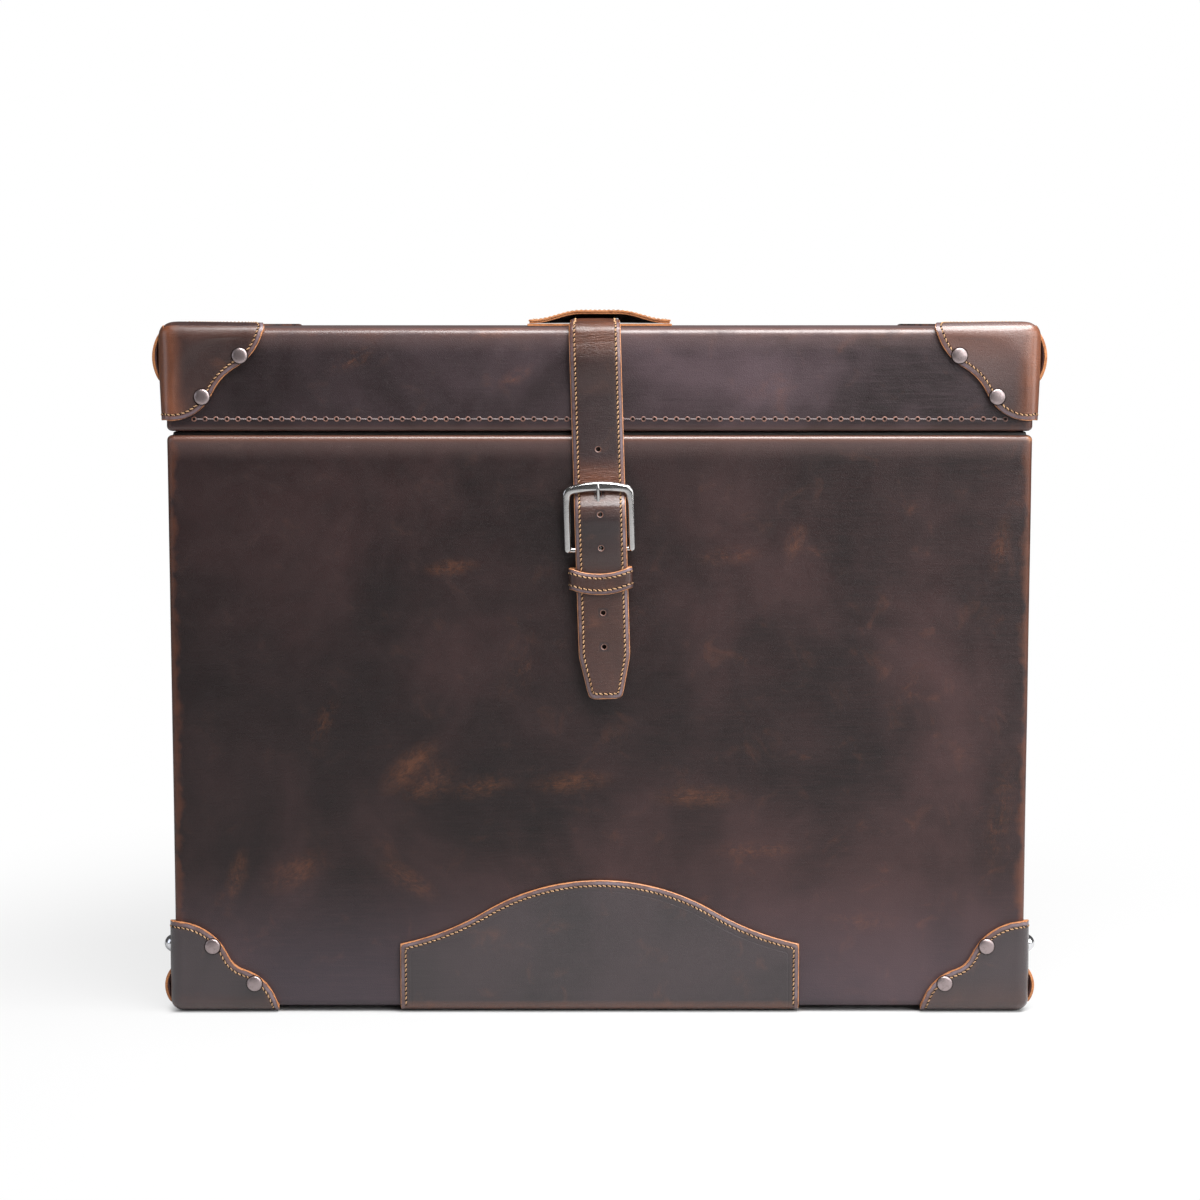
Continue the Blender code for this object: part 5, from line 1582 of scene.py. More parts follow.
def buckle_frame():
    """A square frame with an arched top bar, rounded all over, on a round heel bar."""
    bevel = BUCKLE_THICKNESS / 2
    inner = BUCKLE_WINDOW / 2
    outer = inner + BUCKLE_ARM
    top, under = BUCKLE_REACH + BUCKLE_TOP_BAR / 2, BUCKLE_REACH - BUCKLE_TOP_BAR / 2
    foot = -HEEL_BAR_RADIUS - 0.0002

    def arched(half, level, radius, arch):
        centre = Vector((-half + radius, level - arch - radius))
        points = [centre + radius * Vector((-cosine, sine)) for sine, cosine in quarter_turn(8)]
        start = points[-1].x
        for k in range(1, 13):
            x = start * (1 - k / 12)
            points.append(Vector((x, level - arch * (x / start) ** 2)))
        return points

    half_arm = BUCKLE_ARM / 2
    knob = [Vector((-inner - half_arm + half_arm * math.sin(a), foot + half_arm - half_arm * math.cos(a)))
            for a in (math.radians(-90 + 180 * k / 10) for k in range(11))]
    left_outer = [p for p in knob if p.x <= -inner - half_arm + 1e-9][::-1]
    left_inner = [p for p in knob if p.x > -inner - half_arm + 1e-9]
    left_outer += arched(outer, top, 0.0068, 0.0026)
    left_inner += arched(inner, under, 0.0030, 0.0014)
    outline = left_outer + [Vector((-p.x, p.y)) for p in left_outer[-2::-1]]
    outline += [Vector((-p.x, p.y)) for p in left_inner[:-1]] + left_inner[::-1]
    curve = bpy.data.curves.new("buckle_outline", "CURVE")
    curve.dimensions = "2D"
    curve.fill_mode = "BOTH"
    curve.bevel_depth = bevel
    curve.bevel_resolution = 6
    curve.offset = -bevel
    line = curve.splines.new("POLY")
    line.points.add(len(outline) - 1)
    for point, place in zip(line.points, outline):
        point.co = (place.x, place.y, 0, 1)
    line.use_cyclic_u = True
    flat = bpy.data.objects.new("buckle_outline", curve)
    bpy.context.scene.collection.objects.link(flat)
    bpy.context.view_layer.update()
    mesh = bpy.data.meshes.new_from_object(flat.evaluated_get(bpy.context.evaluated_depsgraph_get()))
    bpy.data.objects.remove(flat)
    bm = bmesh.new()
    bm.from_mesh(mesh)
    bmesh.ops.remove_doubles(bm, verts=bm.verts, dist=0.00001)
    tilt = math.atan2(TOP_BAR_STAND_OFF - HEEL_STAND_OFF, BUCKLE_REACH)
    bmesh.ops.transform(bm, matrix=Matrix.Rotation(math.pi / 2 + tilt, 4, "X"), verts=bm.verts)
    reach = inner + BUCKLE_ARM * 0.4
    profile = ((0, -reach), (HEEL_BAR_RADIUS, -reach), (HEEL_BAR_RADIUS, reach), (0, reach))
    add_turned(bm, profile, (0, 0, 0), (1, 0, 0), 24)
    bmesh.ops.transform(bm, matrix=heel_frame(), verts=bm.verts)
    bmesh.ops.recalc_face_normals(bm, faces=bm.faces)
    obj = object_from("buckle_metal", bm, metal("buckle"))
    obj.data.set_sharp_from_angle(angle=math.radians(40))
    settle(obj, "buckle", ("buckle_frame",))


def prong():
    """A round tongue with a drawn-down tip, rolled round the heel bar."""
    rest = TOP_BAR_STAND_OFF + BUCKLE_THICKNESS / 2 + SEAT + PRONG_RADIUS - HEEL_STAND_OFF
    lift = math.atan2(rest, BUCKLE_REACH)
    length = math.hypot(rest, BUCKLE_REACH) + BUCKLE_TOP_BAR / 2 - 0.0018
    ring_radius = HEEL_BAR_RADIUS + SEAT + PRONG_RADIUS * 0.75
    path = []
    for k in range(15):
        angle = math.radians(-100 + 300 * k / 14)
        path.append((Vector((0, -math.cos(angle), math.sin(angle))) * ring_radius, PRONG_RADIUS * 0.75))
    direction = Vector((0, -math.sin(lift), math.cos(lift)))
    for k in range(1, 25):
        share = k / 24
        width = PRONG_RADIUS * (1 - 0.22 * share)
        if share > 0.9:
            width *= math.sqrt(max(1 - ((share - 0.9) / 0.1) ** 2 * 0.98, 0.02))
        place = direction * (ring_radius + (length - ring_radius) * share)
        place += Vector((0, 1, 0)) * 0.0006 * blended(0, 1, (share - 0.6) / 0.4)
        path.append((place, width))
    bm = bmesh.new()
    rings = []
    side = Vector((1, 0, 0))
    for k, (place, width) in enumerate(path):
        along = path[min(k + 1, len(path) - 1)][0] - path[max(k - 1, 0)][0]
        rings.append(ring_round(bm, place, side * width, along.cross(side).normalized() * width, 14))
    join_rings(bm, rings)
    bm.faces.new(rings[0])
    bm.faces.new(rings[-1][::-1])
    bmesh.ops.recalc_face_normals(bm, faces=bm.faces)
    bmesh.ops.transform(bm, matrix=heel_frame(), verts=bm.verts)
    settle(object_from("prong_metal", bm, metal("buckle")), "prong", ("prong",))


def chape():
    """Hide folded round the heel bar, both ends down the front of the case, slotted for the prong."""
    threads = bpy.context.scene.trunk_threads
    inner = HEEL_BAR_RADIUS + SEAT
    behind, before = HEEL_STAND_OFF - SEAT - CHAPE_LEATHER, HEEL_STAND_OFF - 0.0055
    path = [(behind, CHAPE_END), (behind, -0.030), (inner, -0.004)]
    path += [(inner * math.cos(a), inner * math.sin(a)) for a in (math.pi * k / 12 for k in range(13))]
    path += [(-inner, -0.003), (before, -0.0128), (before, -0.030), (before, CHAPE_END + 0.004)]
    back = [Vector((0, y, z)) for y, z in path]
    rows = []
    for k, point in enumerate(back):
        near, far = back[max(k - 1, 0)], back[min(k + 1, len(back) - 1)]
        along = (far - near).normalized()
        place = point + Vector((0, -along.z, along.y)) * CHAPE_LEATHER
        rows.append([
            {"place": place + Vector((CHAPE_HALF * share, 0, 0)), "edge": CHAPE_HALF * (1 - abs(share)),
             "flat": (CHAPE_HALF * share, 0, k * 0.002), "worn": 0.3}
            for share in (-1, -0.94, -0.2, 0.2, 0.94, 1)
        ])
    bm = skin(rows, outward=lambda face: face.normal.dot(Vector((0, 0, 1))))
    centres = [(face, face.calc_center_median()) for face in bm.faces]
    slot = [face for face, at in centres if abs(at.x) < 0.002 and at.z > -0.004]
    bmesh.ops.delete(bm, geom=slot, context="FACES")
    bmesh.ops.transform(bm, matrix=heel_frame(), verts=bm.verts)
    leather = trim_leather("strap_hide", "flat", threads.strap_seam_inset, FINE_RAW_LINE, "strap")
    obj = leather_piece("chape_fold", bm, CHAPE_LEATHER, leather, raw_leather(), arris=0.0004)
    settle(obj, "body", ("chape",))


def keeper():
    """A loop of hide round the strap, with two rows of stitches and a tan upper edge."""
    threads = bpy.context.scene.trunk_threads
    inset = threads.strap_seam_inset * 0.9
    half = STRAP_HALF + 0.0023
    near, far = HEEL_STAND_OFF - 0.0030 - KEEPER_LEATHER, HEEL_STAND_OFF - 0.0123
    top, bottom = KEEPER_TOP - HEEL_Z + 0.0012, KEEPER_BOTTOM - HEEL_Z + 0.0030
    height = top - bottom
    section = []
    for quarter, (sx, y) in enumerate(((1, near), (-1, near), (-1, far), (1, far))):
        way, radius = (-1, KEEPER_BACK_RADIUS) if y == near else (1, KEEPER_FRONT_RADIUS)
        reach = radius + KEEPER_LEATHER
        for k in range(9):
            angle = math.radians(90 * (quarter + k / 8))
            x = sx * (half - radius) + reach * math.cos(angle)
            section.append((x, y + way * radius + reach * math.sin(angle)))
    filled = []
    for k, (x, y) in enumerate(section):
        nx, ny = section[(k + 1) % len(section)]
        count = 10 if abs(nx - x) > 0.02 else 1
        filled += [(x + (nx - x) * s / count, y + (ny - y) * s / count) for s in range(count)]

    def sag(x, y):
        return KEEPER_SINK * max(1 - (x / half) ** 2, 0) * min(max((near - y) / (near - far), 0), 1)

    rows = []
    for share in (0.0, 0.04, 0.20, 0.5, 0.80, 0.96, 1.0):
        rows.append([
            {"place": Vector((x, y, top - height * share - sag(x, y))),
             "edge": height * min(share, 1 - share), "flat": (x, y, share * height), "worn": 0.15}
            for x, y in filled
        ])
    middle = Vector((0, (near + far) / 2, (top + bottom) / 2))
    bm = skin(rows, closed=True, outward=lambda face: face.normal.dot(face.calc_center_median() - middle))
    bmesh.ops.transform(bm, matrix=heel_frame(), verts=bm.verts)
    leather = trim_leather("keeper_hide", "object", inset, RAW_LINE, "strap")
    obj = leather_piece("keeper_band", bm, KEEPER_LEATHER, leather, raw_leather(), arris=0.0005)
    tree, to_trunk = surface_tree(obj), heel_frame()
    outline = [Vector((x, y, 0)) for x, y in filled]
    start = min(range(len(outline)), key=lambda k: (outline[k] - Vector((-half, near, 0))).length)
    outline = outline[start:] + outline[:start + 1]
    reach = half - KEEPER_FRONT_RADIUS
    runs = []
    for z in (top - inset, bottom + inset):
        spots = []
        for p in even_points(outline, threads.pitch):
            if p.y > near + 0.001:
                continue
            out = Vector((p.x - max(min(p.x, reach), -reach), p.y - max(p.y, far + KEEPER_FRONT_RADIUS), 0))
            out = out.normalized() if out.length > 1e-6 else Vector((0, -1, 0))
            place = to_trunk @ Vector((p.x, p.y, z - sag(p.x, p.y)))
            spots.append(dropped(tree, place, (to_trunk.to_3x3() @ out).normalized()))
        runs.append(spots)
    settle(obj, "body", ("keeper_loop",))
    settle(stitched("keeper_stitches", runs, LOOP_THREAD), "body")


# Grip


def grip_profile(x):
    """How far the strip stands over the pad."""
    share = (GRIP_REACH - GRIP_FOOT - abs(x)) / (GRIP_REACH - GRIP_FOOT - GRIP_FLAT)
    return GRIP_CREST * 0.5 * (1 - math.cos(math.pi * min(max(share, 0), 1)))


def grip_droop(x):
    """How far the strip's rear edge has sunk: less over the strap than beside it."""
    over_strap, half, ramp = GRIP_DROOP
    painted_joint_shadow = blended(over_strap, GRIP_CREST, (abs(x - STRAP_TOP_X) - half) / ramp)
    return min(painted_joint_shadow, grip_profile(x))


def grip():
    """A strip of two hides raised over the lid, and the pad under it."""
    threads = bpy.context.scene.trunk_threads
    base = LID_TOP + PAD_RISE + SEAT
    leather = trim_leather("grip_hide", "object", GRIP_SEAM, WIDE_RAW_LINE, "strap")
    out = Vector((0, 0, 1))
    hides = (("grip_lower_hide", GRIP_LOWER, 0.0, 0.0006), ("grip_upper_hide", GRIP_UPPER, 0.00145, 0.0))
    for name, thickness, floor, less in hides:
        rows, steps = [], 64
        reach = GRIP_REACH - less
        for k in range(steps + 1):
            x = reach * (2 * k / steps - 1)
            slope = (grip_profile(x + 0.0005) - grip_profile(x - 0.0005)) / 0.001
            normal = Vector((-slope, 0, 1)).normalized()
            row = []
            for t in (-1, -0.96, -0.75, -0.4, 0, 0.4, 0.75, 0.96, 1):
                uneven = 0.0004 * (1 + noise.noise(Vector((x * 90, t, floor * 900))))
                half = GRIP_HALF_DEPTH - less - uneven
                droop = grip_droop(x) * ((t + 1) / 2) ** 1.5
                place = Vector((x, MIDDLE_Y + half * t, base + grip_profile(x) - droop))
                row.append({
                    "place": place + normal * (floor + thickness),
                    "edge": min(half * (1 - abs(t)), reach - abs(x)), "worn": 0.5 * abs(t) ** 4,
                })
            rows.append(row)
        bm = skin(rows, outward=lambda face: face.normal.dot(out))
        upper = leather_piece(name, bm, thickness, leather, raw_leather(), arris=0.0003)
        settle(upper, "lid", ("grip_strip",))
    tree = surface_tree(upper)
    paths = []
    for side in (-1, 1):
        y = MIDDLE_Y + side * (GRIP_HALF_DEPTH - GRIP_SEAM)
        xs = [x * 0.001 for x in range(-51, 52, 3)]
        paths.append([Vector((x, y, base + grip_profile(x) + 0.003)) for x in xs])
    for side in (-1, 1):
        ys = [MIDDLE_Y + way * (GRIP_HALF_DEPTH - GRIP_SEAM) for way in (-1, 1)]
        paths.append([Vector((side * (GRIP_REACH - GRIP_SEAM), y, base + 0.003)) for y in ys])
    runs = [[dropped(tree, p, out) for p in even_points(path, threads.pitch)] for path in paths]
    settle(stitched("grip_stitches", runs, LOOP_THREAD), "lid")
    reach, half, steps = GRIP_REACH + 0.001, GRIP_HALF_DEPTH, 24
    rows = []
    for x in (reach * (2 * k / steps - 1) for k in range(steps + 1)):
        rows.append([
            {"place": Vector((x, MIDDLE_Y + half * t, LID_TOP + PAD_RISE)),
             "edge": min(half * (1 - abs(t)), reach - abs(x)), "worn": 0.2}
            for t in (-1, -0.95, -0.5, 0, 0.5, 0.95, 1)
        ])
    bm = skin(rows, outward=lambda face: face.normal.dot(out))
    pad = leather_piece("grip_pad_hide", bm, PAD_LEATHER, leather, raw_leather(), arris=0.0003)
    settle(pad, "lid", ("grip_pad",))


# Fasteners


def head(name, kind, place, facing, body, *stands_for):
    """A domed head, with a dark line of painted shadow round its seat."""
    radius, rise, power, slot = HEADS[kind]
    bm = bmesh.new()
    dome = [(radius * sine, rise * cosine ** power) for sine, cosine in quarter_turn(14)]
    add_turned(bm, dome, place, facing, 40)
    ring = ((radius * 0.98, 0.00002), (radius + 0.00035, 0.0001), (radius + 0.0005, -0.0001))
    add_turned(bm, ring, place, facing, 40, 1)
    settle(object_from(name, bm, metal(kind), dark_void()), body, stands_for)


def fasteners():
    """Rivets on the caps and the strap, and the studs on the base caps."""
    reach = SEAT + CAP_LEATHER + HEAD_LIFT
    for level, spots, body in (("lid", LID_RIVETS, "lid"), ("base", BASE_RIVETS, "body")):
        for hand, sx in (("left", -1), ("right", 1)):
            for place, (u, v) in zip(("inner", "outer"), spots):
                x, z = sx * (HALF_WIDTH - u), LID_TOP - v if level == "lid" else BODY_FLOOR + v
                name = f"{level}_{hand}_{place}_rivet"
                head(name + "_head", "rivet", (x, FRONT - reach, z), (0, -1, 0), body, name)
                head(name + "_rear_head", "rivet", (x, BACK + reach, z), (0, 1, 0), body)
    u, v = BASE_STUD
    for hand, sx in (("left", -1), ("right", 1)):
        for face, y in (("front", FRONT + u), ("back", BACK - u)):
            name = f"{hand}_{face}_stud"
            place = (sx * (HALF_WIDTH + reach), y, BODY_FLOOR + v)
            head(name + "_head", "stud", place, (sx, 0, 0), "body", name)
    y, z = BACK - STRAP_REAR_MARGIN - 0.012, LID_TOP + SEAT + STRAP_LEATHER + 0.0002
    for hand, sx in (("left", -1), ("right", 1)):
        name = f"strap_{hand}_rivet"
        head(name + "_head", "rivet", (STRAP_TOP_X + sx * STRAP_HALF / 2, y, z), (0, 0, 1), "lid", name)


def add_screw(bm, place):
    """A countersunk screw facing the back, with its slot as a flat dark quad that paints the slot's shadow.
    """
    radius, rise = SCREW_RADIUS, SCREW_RISE
    shape = [(0, rise), (radius * 0.5, rise * 0.9), (radius * 0.85, rise * 0.5), (radius, 0.00005)]
    add_turned(bm, shape, place, (0, 1, 0), 20)
    half, wide, lift = radius * 0.82, 0.0004, rise * 1.02 + 0.00003
    corners = [(-half, -wide), (half, -wide), (half, wide), (-half, wide)]
    slot = [bm.verts.new(Vector(place) + Vector((x, lift, z))) for x, z in corners]
    bm.faces.new(slot).material_index = 1


def hinges():
    """The hinges' leaves and pins in steel, with screws in the leaves."""
    for hand, sx in (("left", -1), ("right", 1)):
        for leaf, way, body in (("body_leaf", -1, "body"), ("lid_leaf", 1, "lid")):
            dress(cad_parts[f"{hand}_hinge_{leaf}"], metal("hinge"))
            bm = bmesh.new()
            for offset, away in HINGE_SCREWS:
                z = HINGE_AXIS_Z + way * (HINGE_KNUCKLE + away)
                add_screw(bm, (sx * HINGE_X + offset, HINGE_LEAF_FACE, z))
            name = f"{hand}_hinge_{leaf}_screws"
            settle(object_from(name, bm, metal("hinge"), dark_void()), body)
        dress(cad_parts[f"{hand}_hinge_pin"], metal("hinge"))


# Inside


def dress(node, material):
    """Gives a CAD node a better material."""
    node.data.materials.clear()
    node.data.materials.append(material)


def lining_tray(half, closed_z, open_z, wall):
    """The cloth inside one half: over its closed face and up its walls to the turn-in."""
    way = 1 if open_z > closed_z else -1
    curl = (wall + 2 * GLUE_LINE + 2 * SHELL_LEATHER) / 2
    inset = SHELL_LEATHER + GLUE_LINE + wall + GLUE_LINE + LINING
    floor_z = closed_z + way * inset
    top_z = open_z - way * (curl + TURN_IN + SEAT)
    rows = []
    for grown in (0.105, 0.06, 0.03, 0.012):
        rows.append([{"place": p} for p, _ in case_ring(inset + grown, LEAST_RADIUS, floor_z)])
    count = max(round(abs(top_z - floor_z) / 0.02), 2)
    for k in range(count + 1):
        z = floor_z + (top_z - floor_z) * k / count
        wave = 0.0 if k in (0, count) else LINING_WAVE
        rows.append([{"place": p - out * hollowness(p, wave)} for p, out in case_ring(inset, 0.0016, z)])
    inside = Vector((0, MIDDLE_Y, (floor_z + top_z) / 2))
    bm = skin(
        rows, closed=True, closing=True,
        outward=lambda face: face.normal.dot(inside - face.calc_center_median()),
    )
    cloth = cloth_material()
    obj = leather_piece(f"{half}_lining_cloth", bm, LINING, cloth, cloth, arris=0.0003)
    obj.modifiers["thickness"].material_offset_rim = 0
    settle(obj, half, (f"{half}_lining",))


def inside():
    """Boards and collar in their materials, and the cloth in both halves."""
    for name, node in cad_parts.items():
        if "_board_" in name:
            dress(node, board_material())
        elif name.startswith("collar_"):
            dress(node, cloth_material())
    lining_tray("body", BODY_FLOOR, BODY_RIM, BODY_BOARD)
    lining_tray("lid", LID_TOP, LID_EDGE, LID_BOARD)


# Stage


# Camera: lens in millimetres, places in metres, and how far it looks down in degrees
CAMERA_LENS = 81.09
CAMERA_SHIFT = 0.0003
CAMERA_DISTANCE = 1.995
CAMERA_HEIGHT = 0.531
CAMERA_DIP = 6.24


def lamp(name, size, place, target, watts, tint=(1, 1, 1)):
    """A softbox that faces a point."""
    data = bpy.data.lights.new(name, "AREA")
    data.shape = "RECTANGLE"
    data.size, data.size_y = size
    data.energy = watts
    data.color = tint
    obj = bpy.data.objects.new(name, data)
    obj.location = place
    obj.rotation_euler = (Vector(target) - Vector(place)).to_track_quat("-Z", "Y").to_euler()
    bpy.context.scene.collection.objects.link(obj)


def backdrop_world(level):
    """Even light from all round, which the camera sees as white."""
    world = bpy.data.worlds.new("studio")
    bpy.context.scene.world = world
    world.use_nodes = True
    tree = world.node_tree
    ground = tree.nodes["Background"]
    ground.inputs["Color"].default_value = (1, 1, 1, 1)
    path = put(tree, "LightPath").outputs
    strength = maths(tree, "MULTIPLY_ADD", path["Is Camera Ray"], 1 - level, level)
    tree.links.new(strength, ground.inputs["Strength"])


def floor_material():
    """A pale floor that the camera sees as white, except under and close round the trunk."""
    made, tree, shader = surface("pale_floor", Roughness=0.9, Specular_IOR_Level=0.0)
    where = object_place(tree)
    tone = clouds(tree, where, 3.0, 2.0)
    colour = mixed(tree, tone, (0.47, 0.47, 0.47, 1), (0.50, 0.50, 0.50, 1))
    feed(tree, shader, colour)
    glow = put(tree, "Emission", {"Color": (1, 1, 1, 1), "Strength": 1.0})
    path = put(tree, "LightPath").outputs
    away = put(tree, "VectorMath", {0: where}, operation="LENGTH").outputs["Value"]
    at = put(tree, "SeparateXYZ", {0: where}).outputs
    beside = maths(tree, "SUBTRACT", maths(tree, "ABSOLUTE", at["X"]), HALF_WIDTH)
    before = maths(tree, "ABSOLUTE", maths(tree, "SUBTRACT", at["Y"], MIDDLE_Y))
    outside = maths(tree, "MAXIMUM", beside, maths(tree, "SUBTRACT", before, HALF_DEPTH))
    share = maths(tree, "MULTIPLY", path["Is Camera Ray"], eased(tree, away, 0.36, 0.8, 0.80, 1.0))
    share = maths(tree, "MULTIPLY", share, eased(tree, outside, -0.006, 0.010))
    both = put(tree, "MixShader", {0: share, 1: shader.outputs[0], 2: glow.outputs[0]})
    out = next(n for n in tree.nodes if n.type == "OUTPUT_MATERIAL")
    tree.links.new(both.outputs[0], out.inputs["Surface"])
    return made


def stage():
    """The floor, the world, four softboxes and the camera."""
    settings = bpy.context.scene.trunk_stage
    scene = bpy.context.scene
    scene.view_settings.view_transform = "Standard"
    bm = bmesh.new()
    bmesh.ops.create_circle(bm, cap_ends=True, segments=96, radius=1.9)
    object_from("floor", bm, floor_material())
    backdrop_world(settings.surround)
    lamp("top_softbox", (2.0, 1.0), (0.50, -0.60, 2.00), (0, 0, 0.45), settings.top_power)
    lamp("key_softbox", (1.7, 1.6), (1.40, -1.85, 1.25), (0, 0, 0.35), settings.key_power)
    size, middle, power = (0.9, 1.3), (0, 0, 0.30), settings.side_power
    lamp("left_softbox", size, (-1.9, -0.75, 0.75), middle, power * 0.5, (0.85, 0.9, 1.0))
    lamp("right_softbox", size, (1.9, -0.55, 0.75), middle, power)
    camera = bpy.data.cameras.new("camera")
    camera.sensor_width = 36.0
    camera.lens = CAMERA_LENS
    camera.shift_x = CAMERA_SHIFT
    obj = bpy.data.objects.new("camera", camera)
    obj.location = (0, FRONT - CAMERA_DISTANCE, CAMERA_HEIGHT)
    obj.rotation_euler = (math.radians(90 - CAMERA_DIP), 0, 0)
    scene.collection.objects.link(obj)
    scene.camera = obj


# Properties, operators and panel


def shade(label, text, value):
    """A colour for a panel."""
    return FloatVectorProperty(
        name=label, description=text, subtype="COLOR", size=3, min=0, max=1, default=value,
    )


def length(label, text, value):
    """A length in metres for a panel."""
    return FloatProperty(
        name=label, description=text, unit="LENGTH", subtype="DISTANCE", min=0, precision=4, default=value,
    )


def power(label, text, value):
    """A lamp's power in watts for a panel."""
    return FloatProperty(name=label, description=text, unit="POWER", min=0, default=value)


class TrunkLeather(bpy.types.PropertyGroup):
    hide_dark: shade("Hide, dark", "The hide's deepest brown", (0.0074, 0.0037, 0.0039))
    hide_light: shade("Hide, light", "The hide's mottled brown", (0.0450, 0.0210, 0.0208))
    trim_dark: shade("Trim, dark", "The caps' and strap's deepest brown", (0.0120, 0.0052, 0.0052))
    trim_light: shade("Trim, light", "The caps' and strap's mottled brown", (0.0400, 0.0178, 0.0155))
    patch_dark: shade("Patch, dark", "The patch's deepest brown", (0.0118, 0.0068, 0.0080))
    patch_light: shade("Patch, light", "The patch's mottled brown", (0.0310, 0.0180, 0.0208))
    strap_dark: shade("Strap, dark", "The strap's deepest brown", (0.0105, 0.0058, 0.0062))
    strap_light: shade("Strap, light", "The strap's mottled brown", (0.0340, 0.0180, 0.0180))
    burnish: shade("Burnish", "Brown that shows where the leather is rubbed or bent", (0.185, 0.0580, 0.0230))
    # Painted sheen: the pale purplish reflection painted between cut edges and stitches, over the lid's hide
    # and low on the body
    painted_sheen: shade("Edge bloom", "Waxy bloom between a cut edge and its stitches", (0.150, 0.118, 0.145))
    # Painted highlight: brown painted below the lid's top arris and the body's rim, and over the right lid
    # caps
    glow: shade("Glow", "Brown where the wax has worn thin along an arris", (0.190, 0.118, 0.108))
    raw_edge: shade("Raw edge", "Tan of a cut edge", (0.460, 0.188, 0.0720))
    lip: shade("Seam lip", "Tan round the lid's needle holes", (0.260, 0.120, 0.085))
    thread: shade("Thread", "Waxed tan thread", (0.520, 0.310, 0.160))
    seam_thread: shade("Lid thread", "Grey thread low on the lid", (0.220, 0.180, 0.180))
    lining: shade("Lining", "Lining cloth", (0.090, 0.062, 0.045))


class TrunkThreads(bpy.types.PropertyGroup):
    pitch: length("Stitch pitch", "Distance between needle holes", 0.0036)
    cap_seam_inset: length("Cap seam inset", "From a cap's or the patch's edge to its stitches", 0.0041)
    strap_seam_inset: length("Strap seam inset", "From the strap's edge to its stitches", 0.0038)
    lid_seam_pitch: length("Lid seam pitch", "Distance between the lid's needle holes", 0.0081)
    lid_seam_height: length("Lid seam height", "From the lid's lower edge to its seam", 0.0090)


class TrunkMetal(bpy.types.PropertyGroup):
    rivet: shade("Rivets", "Warm nickel of the rivets", (0.350, 0.285, 0.285))
    stud: shade("Studs", "Bright nickel of the side studs", (0.700, 0.700, 0.720))
    buckle: shade("Buckle", "Antique nickel of the buckle", (0.450, 0.440, 0.435))
    hinge: shade("Hinges", "Steel of the hinges", (0.360, 0.310, 0.230))


class TrunkStage(bpy.types.PropertyGroup):
    surround: FloatProperty(name="Surround", description="Light from all round", default=0.10, min=0)
    top_power: power("Top softbox", "Softbox over the lid", 98.0)
    key_power: power("Key softbox", "Softbox at the right", 38.0)
    side_power: power("Side softboxes", "Softboxes at both sides", 11.0)


class TRUNK_OT_stage(bpy.types.Operator):
    """Floor, studio light and camera"""

    bl_idname = "trunk.stage"
    bl_label = "Stage"

    def execute(self, context):
        stage()
        return {"FINISHED"}


class TRUNK_OT_inside(bpy.types.Operator):
    """Boards, collar and lining cloth"""

    bl_idname = "trunk.inside"
    bl_label = "Boards and lining"

    def execute(self, context):
        inside()
        return {"FINISHED"}


class TRUNK_OT_body_hide(bpy.types.Operator):
    """The hide over the body, with its rolled rim"""

    bl_idname = "trunk.body_hide"
    bl_label = "Body hide"

    def execute(self, context):
        hide("body", BODY_FLOOR, BODY_RIM, BODY_BOARD)
        return {"FINISHED"}


class TRUNK_OT_lid_hide(bpy.types.Operator):
    """The hide over the lid, with its rolled rim and its seam"""

    bl_idname = "trunk.lid_hide"
    bl_label = "Lid hide"

    def execute(self, context):
        lid_seam(hide("lid", LID_TOP, LID_EDGE, LID_BOARD))
        return {"FINISHED"}


class TRUNK_OT_corner_caps(bpy.types.Operator):
    """Eight moulded corner caps with their stitches and side folds"""

    bl_idname = "trunk.corner_caps"
    bl_label = "Corner caps"

    def execute(self, context):
        for hand, sx in (("left", -1), ("right", 1)):
            for face, sy in (("front", -1), ("back", 1)):
                corner_cap(f"lid_cap_{face}_{hand}", "lid", sx, sy, True, LID_CAP)
                corner_cap(f"base_cap_{face}_{hand}", "body", sx, sy, False, BASE_CAP)
            side_flap(f"lid_cap_{hand}_fold", "lid", sx, *LID_FOLD)
            side_flap(f"base_cap_{hand}_fold", "body", sx, *BASE_FOLD)
        return {"FINISHED"}


class TRUNK_OT_fasteners(bpy.types.Operator):
    """Rivets and domed studs"""

    bl_idname = "trunk.fasteners"
    bl_label = "Rivets and studs"

    def execute(self, context):
        fasteners()
        return {"FINISHED"}


class TRUNK_OT_front_patch(bpy.types.Operator):
    """The arched patch low on the front"""

    bl_idname = "trunk.front_patch"
    bl_label = "Front patch"

    def execute(self, context):
        arched_patch()
        return {"FINISHED"}


class TRUNK_OT_strap(bpy.types.Operator):
    """The strap over the lid and down the front"""

    bl_idname = "trunk.strap"
    bl_label = "Strap"

    def execute(self, context):
        strap()
        return {"FINISHED"}


class TRUNK_OT_buckle(bpy.types.Operator):
    """Buckle frame, prong, chape and keeper"""

    bl_idname = "trunk.buckle"
    bl_label = "Buckle"

    def execute(self, context):
        buckle_frame()
        prong()
        chape()
        keeper()
        return {"FINISHED"}


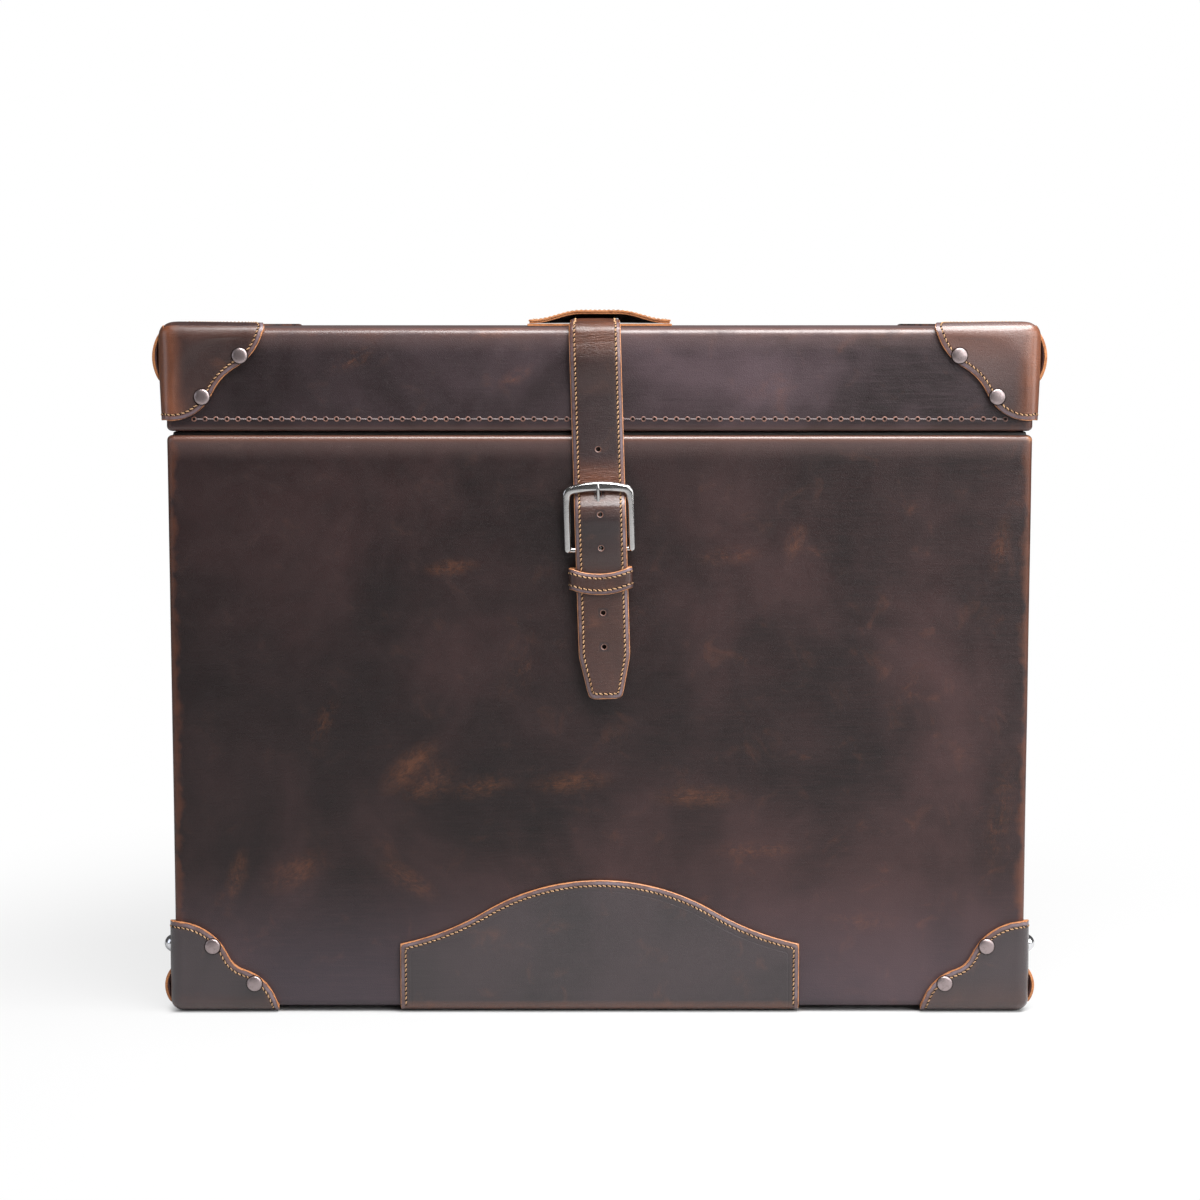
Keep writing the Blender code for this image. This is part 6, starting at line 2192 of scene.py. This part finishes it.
class TRUNK_OT_grip(bpy.types.Operator):
    """The grip strip and its pad"""

    bl_idname = "trunk.grip"
    bl_label = "Grip"

    def execute(self, context):
        grip()
        return {"FINISHED"}


class TRUNK_OT_hinges(bpy.types.Operator):
    """Butt hinges and their screws"""

    bl_idname = "trunk.hinges"
    bl_label = "Hinges"

    def execute(self, context):
        hinges()
        return {"FINISHED"}


OPERATORS = (
    TRUNK_OT_stage, TRUNK_OT_inside, TRUNK_OT_body_hide, TRUNK_OT_lid_hide, TRUNK_OT_corner_caps,
    TRUNK_OT_fasteners, TRUNK_OT_front_patch, TRUNK_OT_strap, TRUNK_OT_buckle, TRUNK_OT_grip,
    TRUNK_OT_hinges,
)
SETTINGS = {
    "trunk_leather": TrunkLeather, "trunk_threads": TrunkThreads,
    "trunk_metal": TrunkMetal, "trunk_stage": TrunkStage,
}


class TRUNK_PT_panel(bpy.types.Panel):
    """The trunk's settings, and a button for each group of its pieces"""

    bl_idname = "TRUNK_PT_panel"
    bl_label = "Leather trunk"
    bl_space_type = "VIEW_3D"
    bl_region_type = "UI"
    bl_category = "Trunk"

    def draw(self, context):
        layout = self.layout
        for key in SETTINGS:
            box = layout.box()
            values = getattr(context.scene, key)
            for prop in values.bl_rna.properties:
                if prop.identifier not in ("rna_type", "name"):
                    box.prop(values, prop.identifier)
        for operator in OPERATORS:
            layout.operator(operator.bl_idname)


def register():
    for made in (*SETTINGS.values(), *OPERATORS, TRUNK_PT_panel):
        bpy.utils.register_class(made)
    for key, made in SETTINGS.items():
        setattr(bpy.types.Scene, key, PointerProperty(type=made))


def unregister():
    for key in SETTINGS:
        delattr(bpy.types.Scene, key)
    for made in (TRUNK_PT_panel, *OPERATORS[::-1], *list(SETTINGS.values())[::-1]):
        bpy.utils.unregister_class(made)


def main():
    """Registers the add-on and builds every piece by its operator."""
    register()
    for operator in OPERATORS:
        category, name = operator.bl_idname.split(".")
        getattr(getattr(bpy.ops, category), name)()


if __name__ == "__main__":
    main()
